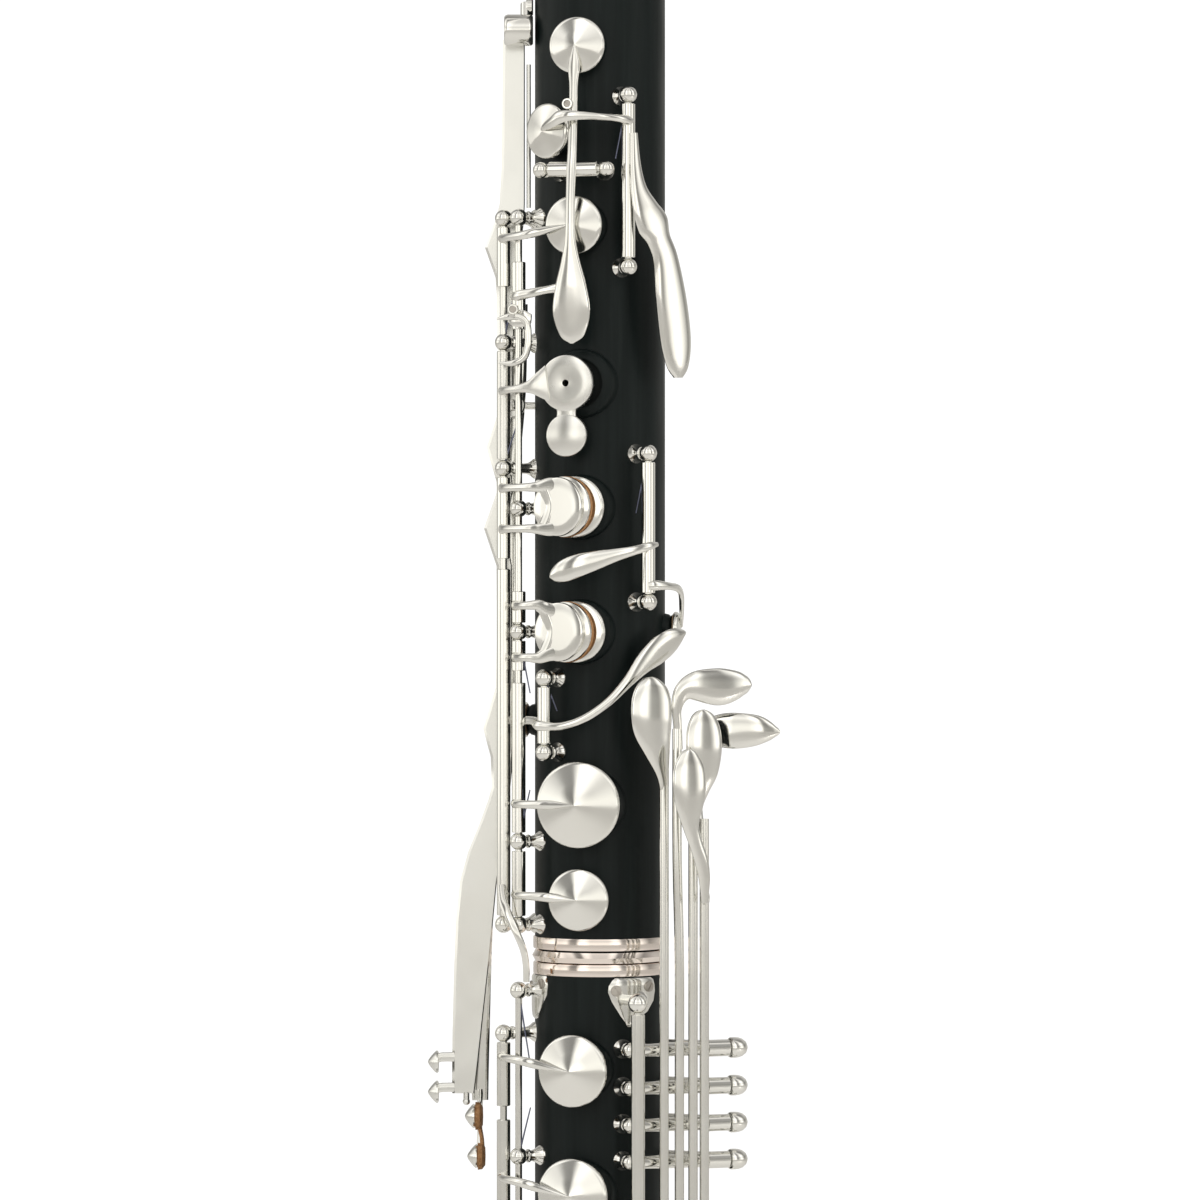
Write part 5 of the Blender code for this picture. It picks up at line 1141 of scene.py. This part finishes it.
def studio():
    world = bpy.data.worlds.new("studio")
    world.use_nodes = True
    bpy.context.scene.world = world
    tree = world.node_tree
    tree.nodes.clear()
    coords = wired(tree, "TexCoord", {})
    split = wired(tree, "SeparateXYZ", {"Vector": coords.outputs["Generated"]}).outputs
    lift = wired(tree, "Math", {0: split["Z"], 1: 0.5, 2: 0.5}, operation="MULTIPLY_ADD")
    height = colour_ramp(tree, lift.outputs[0], ((0.0, (0.30, 0.25, 0.19)), (0.34, (0.82, 0.78, 0.72)),
        (0.46, (1.0, 0.98, 0.94)), (0.53, (1.0, 0.99, 0.95)), (0.62, (0.70, 0.69, 0.67)),
        (0.74, (1.0, 0.99, 0.97)), (0.9, (0.62, 0.61, 0.60))))
    bearing = wired(tree, "Math", {0: split["X"], 1: split["Y"]}, operation="ARCTAN2")
    turn = wired(tree, "Math", {0: bearing.outputs[0], 1: 0.5 / math.pi, 2: 0.5}, operation="MULTIPLY_ADD")
    strips = ((0.0, 0.95), (0.03, 1.5), (0.055, 1.3), (0.07, 0.25), (0.1, 0.35), (0.12, 1.1), (0.16, 0.9),
        (0.2, 1.3), (0.26, 0.8), (0.31, 0.25), (0.38, 0.45), (0.5, 0.6), (0.62, 0.45), (0.69, 0.25),
        (0.73, 0.8), (0.76, 1.4), (0.79, 1.0), (0.82, 0.3), (0.845, 0.35), (0.86, 1.2), (0.88, 1.45),
        (0.91, 0.95))
    strips = [(place, (glow, glow * 0.99, glow * 0.965)) for place, glow in strips]
    walls = colour_ramp(tree, turn.outputs[0], strips)
    mix = wired(tree, "Mix", {}, data_type="RGBA", blend_type="MULTIPLY")
    mix.inputs["Factor"].default_value = 1.0
    tree.links.new(height, mix.inputs["A"])
    tree.links.new(walls, mix.inputs["B"])
    around = wired(tree, "Background", {"Strength": 1.2, "Color": mix.outputs["Result"]})
    white = wired(tree, "Background", {"Color": (1, 1, 1, 1), "Strength": 1.1})
    rays = wired(tree, "LightPath", {})
    choose = wired(tree, "MixShader", {"Fac": rays.outputs["Is Camera Ray"], 1: around.outputs[0],
        2: white.outputs[0]})
    wired(tree, "OutputWorld", {"Surface": choose.outputs[0]})
    light("key_soft", (-1.6, -2.0, 2.2), (0, 0, 0.85), (1.2, 1.6), 20)
    light("right_soft", (2.2, -0.6, 1.1), (0, 0, 0.85), (0.5, 2.2), 16, (1.0, 0.98, 0.95))
    light("top_soft", (0.2, 0.6, 2.8), (0, 0, 0.9), (1.4, 1.4), 10)
    bpy.ops.mesh.primitive_plane_add(size=30, location=(0, 0, 0))
    floor = bpy.context.active_object
    floor.name = "floor"
    floor.data.materials.append(plain_floor())


CAMERA_HEIGHT = 0.873
CAMERA_DISTANCE = 1.6
KEY_DEPTH = 0.022
PICTURE_HEIGHT = 0.3456


def camera():
    data = bpy.data.cameras.new("camera")
    data.sensor_width = 36
    data.lens = 36 * (CAMERA_DISTANCE - KEY_DEPTH) / PICTURE_HEIGHT
    data.clip_end = 100
    obj = bpy.data.objects.new("camera", data)
    a = math.radians(KEY_TURN)
    obj.location = (CAMERA_DISTANCE * math.sin(a), BORE_BACK * MM - CAMERA_DISTANCE * math.cos(a),
        CAMERA_HEIGHT)
    obj.rotation_euler = (math.pi / 2, 0, a)
    bpy.context.scene.collection.objects.link(obj)
    bpy.context.scene.camera = obj
    bpy.context.scene.view_settings.view_transform = "Standard"


def neck():
    """The neck pipe, straight up and then bent round to the back, with its collar, tenon and cuff."""
    up = Vector((0, 0, 1))
    start, turn, bend, run = TOP + 50.0, math.radians(78), 52.0, 40.0
    stations = [(Vector((0, 0, z)), up, 9.5) for z in (TOP - 14, TOP + 10, start - 10)]
    steps = 12
    for i in range(steps + 1):
        a = turn * i / steps
        stations.append((Vector((0, bend * (1 - math.cos(a)), start + bend * math.sin(a))),
            Vector((0, math.sin(a), math.cos(a))), 9.5))
    last, way, _ = stations[-1]
    stations += [(last + way * run * share, way, 9.5) for share in (0.4, 1.0)]
    end = stations[-1][0]
    piece = Piece()
    piece.pipe(stations, 1.3, 90)
    piece.turned([(9.4, TOP + 2), (11.1, TOP + 2), (11.1, TOP - 13.7), (10.8, TOP - 14), (9.4, TOP - 14)],
        None, 72, ring=True)
    piece.turned([(9.4, TOP + 9), (13.4, TOP + 9), (14.0, TOP + 8.4), (14.2, TOP + 7.6), (14.2, TOP + 6),
        (13.7, TOP + 5.4), (13.7, TOP + 4.4), (14.2, TOP + 3.8), (14.2, TOP + 1), (13.6, TOP + 0.4),
        (9.4, TOP + 0.4)], None, 80, ring=True)
    piece.turned([(9.4, 11), (10.1, 11), (10.4, 10.5), (10.4, 0.5), (10.1, 0), (9.4, 0)],
        aligned(end - way * 28, way), 64, ring=True)
    piece.done("neck_silver", "silver", "neck_assembly", "neck", keywork=False)


def bell():
    """The bow under the wood and the bell that rises in front of it, with the socket of the floor peg."""
    bow, bow_top, mouth = 56.0, 205.0, 372.0
    down, up = Vector((0, 0, -1)), Vector((0, 0, 1))
    stations = [(Vector((0, 0, z)), down, 15.7) for z in (FOOT - 0.3, 235, 220, bow_top)]
    steps = 16
    for i in range(1, steps):
        a = math.pi * i / steps
        stations.append((Vector((0, -bow * (1 - math.cos(a)), bow_top - bow * math.sin(a))),
            Vector((0, -math.sin(a), -math.cos(a))), 15.8 + 4.5 * i / steps))
    for share, radius in ((0, 20.4), (0.15, 21.8), (0.3, 23.6), (0.45, 26.2), (0.55, 29.0), (0.65, 32.8),
            (0.75, 38.0), (0.84, 45.4), (0.9, 52.5), (0.95, 60.4), (0.98, 67.0), (1.0, 72.0)):
        stations.append((Vector((0, -2 * bow, bow_top + (mouth - bow_top) * share)), up, radius))
    piece = Piece()
    piece.pipe(stations, 1.2, 150, 96)
    rim = Matrix.Translation((0, -2 * bow, mouth - 1.2))
    piece.turned([(72.0 + 1.4 * math.cos(a), 1.4 * math.sin(a))
        for a in (2 * math.pi * k / 14 for k in range(14))], rim, 120, ring=True)
    piece.turned([(19.3, FOOT + 7.6), (20.0, FOOT + 7.0), (20.0, FOOT + 3.4), (19.5, FOOT + 3.0),
        (19.5, FOOT + 2.0), (20.0, FOOT + 1.6), (20.0, FOOT - 10.6), (19.0, FOOT - 12), (14.6, FOOT - 12),
        (14.6, FOOT - 0.4), (17.9, FOOT - 0.4), (17.9, FOOT + 7.6)], None, 96, ring=True)
    peg = Matrix.Translation((0, PEG_Y, 0))
    piece.turned([(PEG_R + 0.35, SOCKET_LOW), (7.2, SOCKET_LOW), (7.5, SOCKET_LOW + 0.4),
        (7.5, SOCKET_LOW + 4), (7.1, SOCKET_LOW + 4.5), (7.5, SOCKET_LOW + 5), (7.5, 151),
        (PEG_R + 0.35, 151)], peg, 64, ring=True)
    lug = aligned(Vector((0, PEG_Y + 6.6, SCREW_Z)), Vector((0, 1, 0)))
    piece.turned([(2.35, 5.4), (4.0, 5.4), (4.2, 5.1), (4.2, 0), (2.35, 0)], lug, 48, ring=True)
    piece.done("bell_silver", "silver", ROOT, "bell", keywork=False)


def dress_frame():
    """CAD nodes that stay as they are get the finished materials."""
    wanted = {"ligature": "silver", "ligature_screw_low": "silver", "ligature_screw_high": "silver",
        "mouthpiece": "rubber", "reed": "cane", "floor_peg": "peg", "peg_screw": "silver",
        "thumb_rest": "silver", "strap_ring": "silver"}
    for name, look in wanted.items():
        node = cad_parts[name]
        node.data.materials.clear()
        node.data.materials.append(LOOKS[look])


def build():
    camera()
    studio()
    wooden_joints()
    neck()
    bell()
    middle_rings()
    fixed_posts()
    throat_keys()
    padded_key("vent_key", OUTER_LINE, 964.0, OUTER_POSTS[0] - END_GAP, 978.0, HOLE_LINE - 2.6, 981.0, 8.6)
    linkage()
    left_index()
    finger_plate("left_middle_plate", OUTER_LINE, ((885.0, OUTER_POSTS[2] - END_GAP),), (905.5, 893.6), 899.8)
    finger_plate("left_ring_plate", INNER_LINE, ((866.4, 875.5), (852.5, 861.2)), (871.4, 856.4), 863.8)
    sliver()
    c_sharp()
    padded_key("large_vent_key", INNER_LINE, INNER_POSTS[3] + END_GAP, 849.0, 814.0, -13.5, 814.0, 12.5, True)
    padded_key("small_vent_key", INNER_LINE, INNER_POSTS[4] + END_GAP, 800.2, 787.6, -16, 786.6, 9.0)
    bridge()
    trill_levers()
    little_finger_levers()
    lower_joint_keys()
    register()
    needle_springs()
    dress_frame()


build()
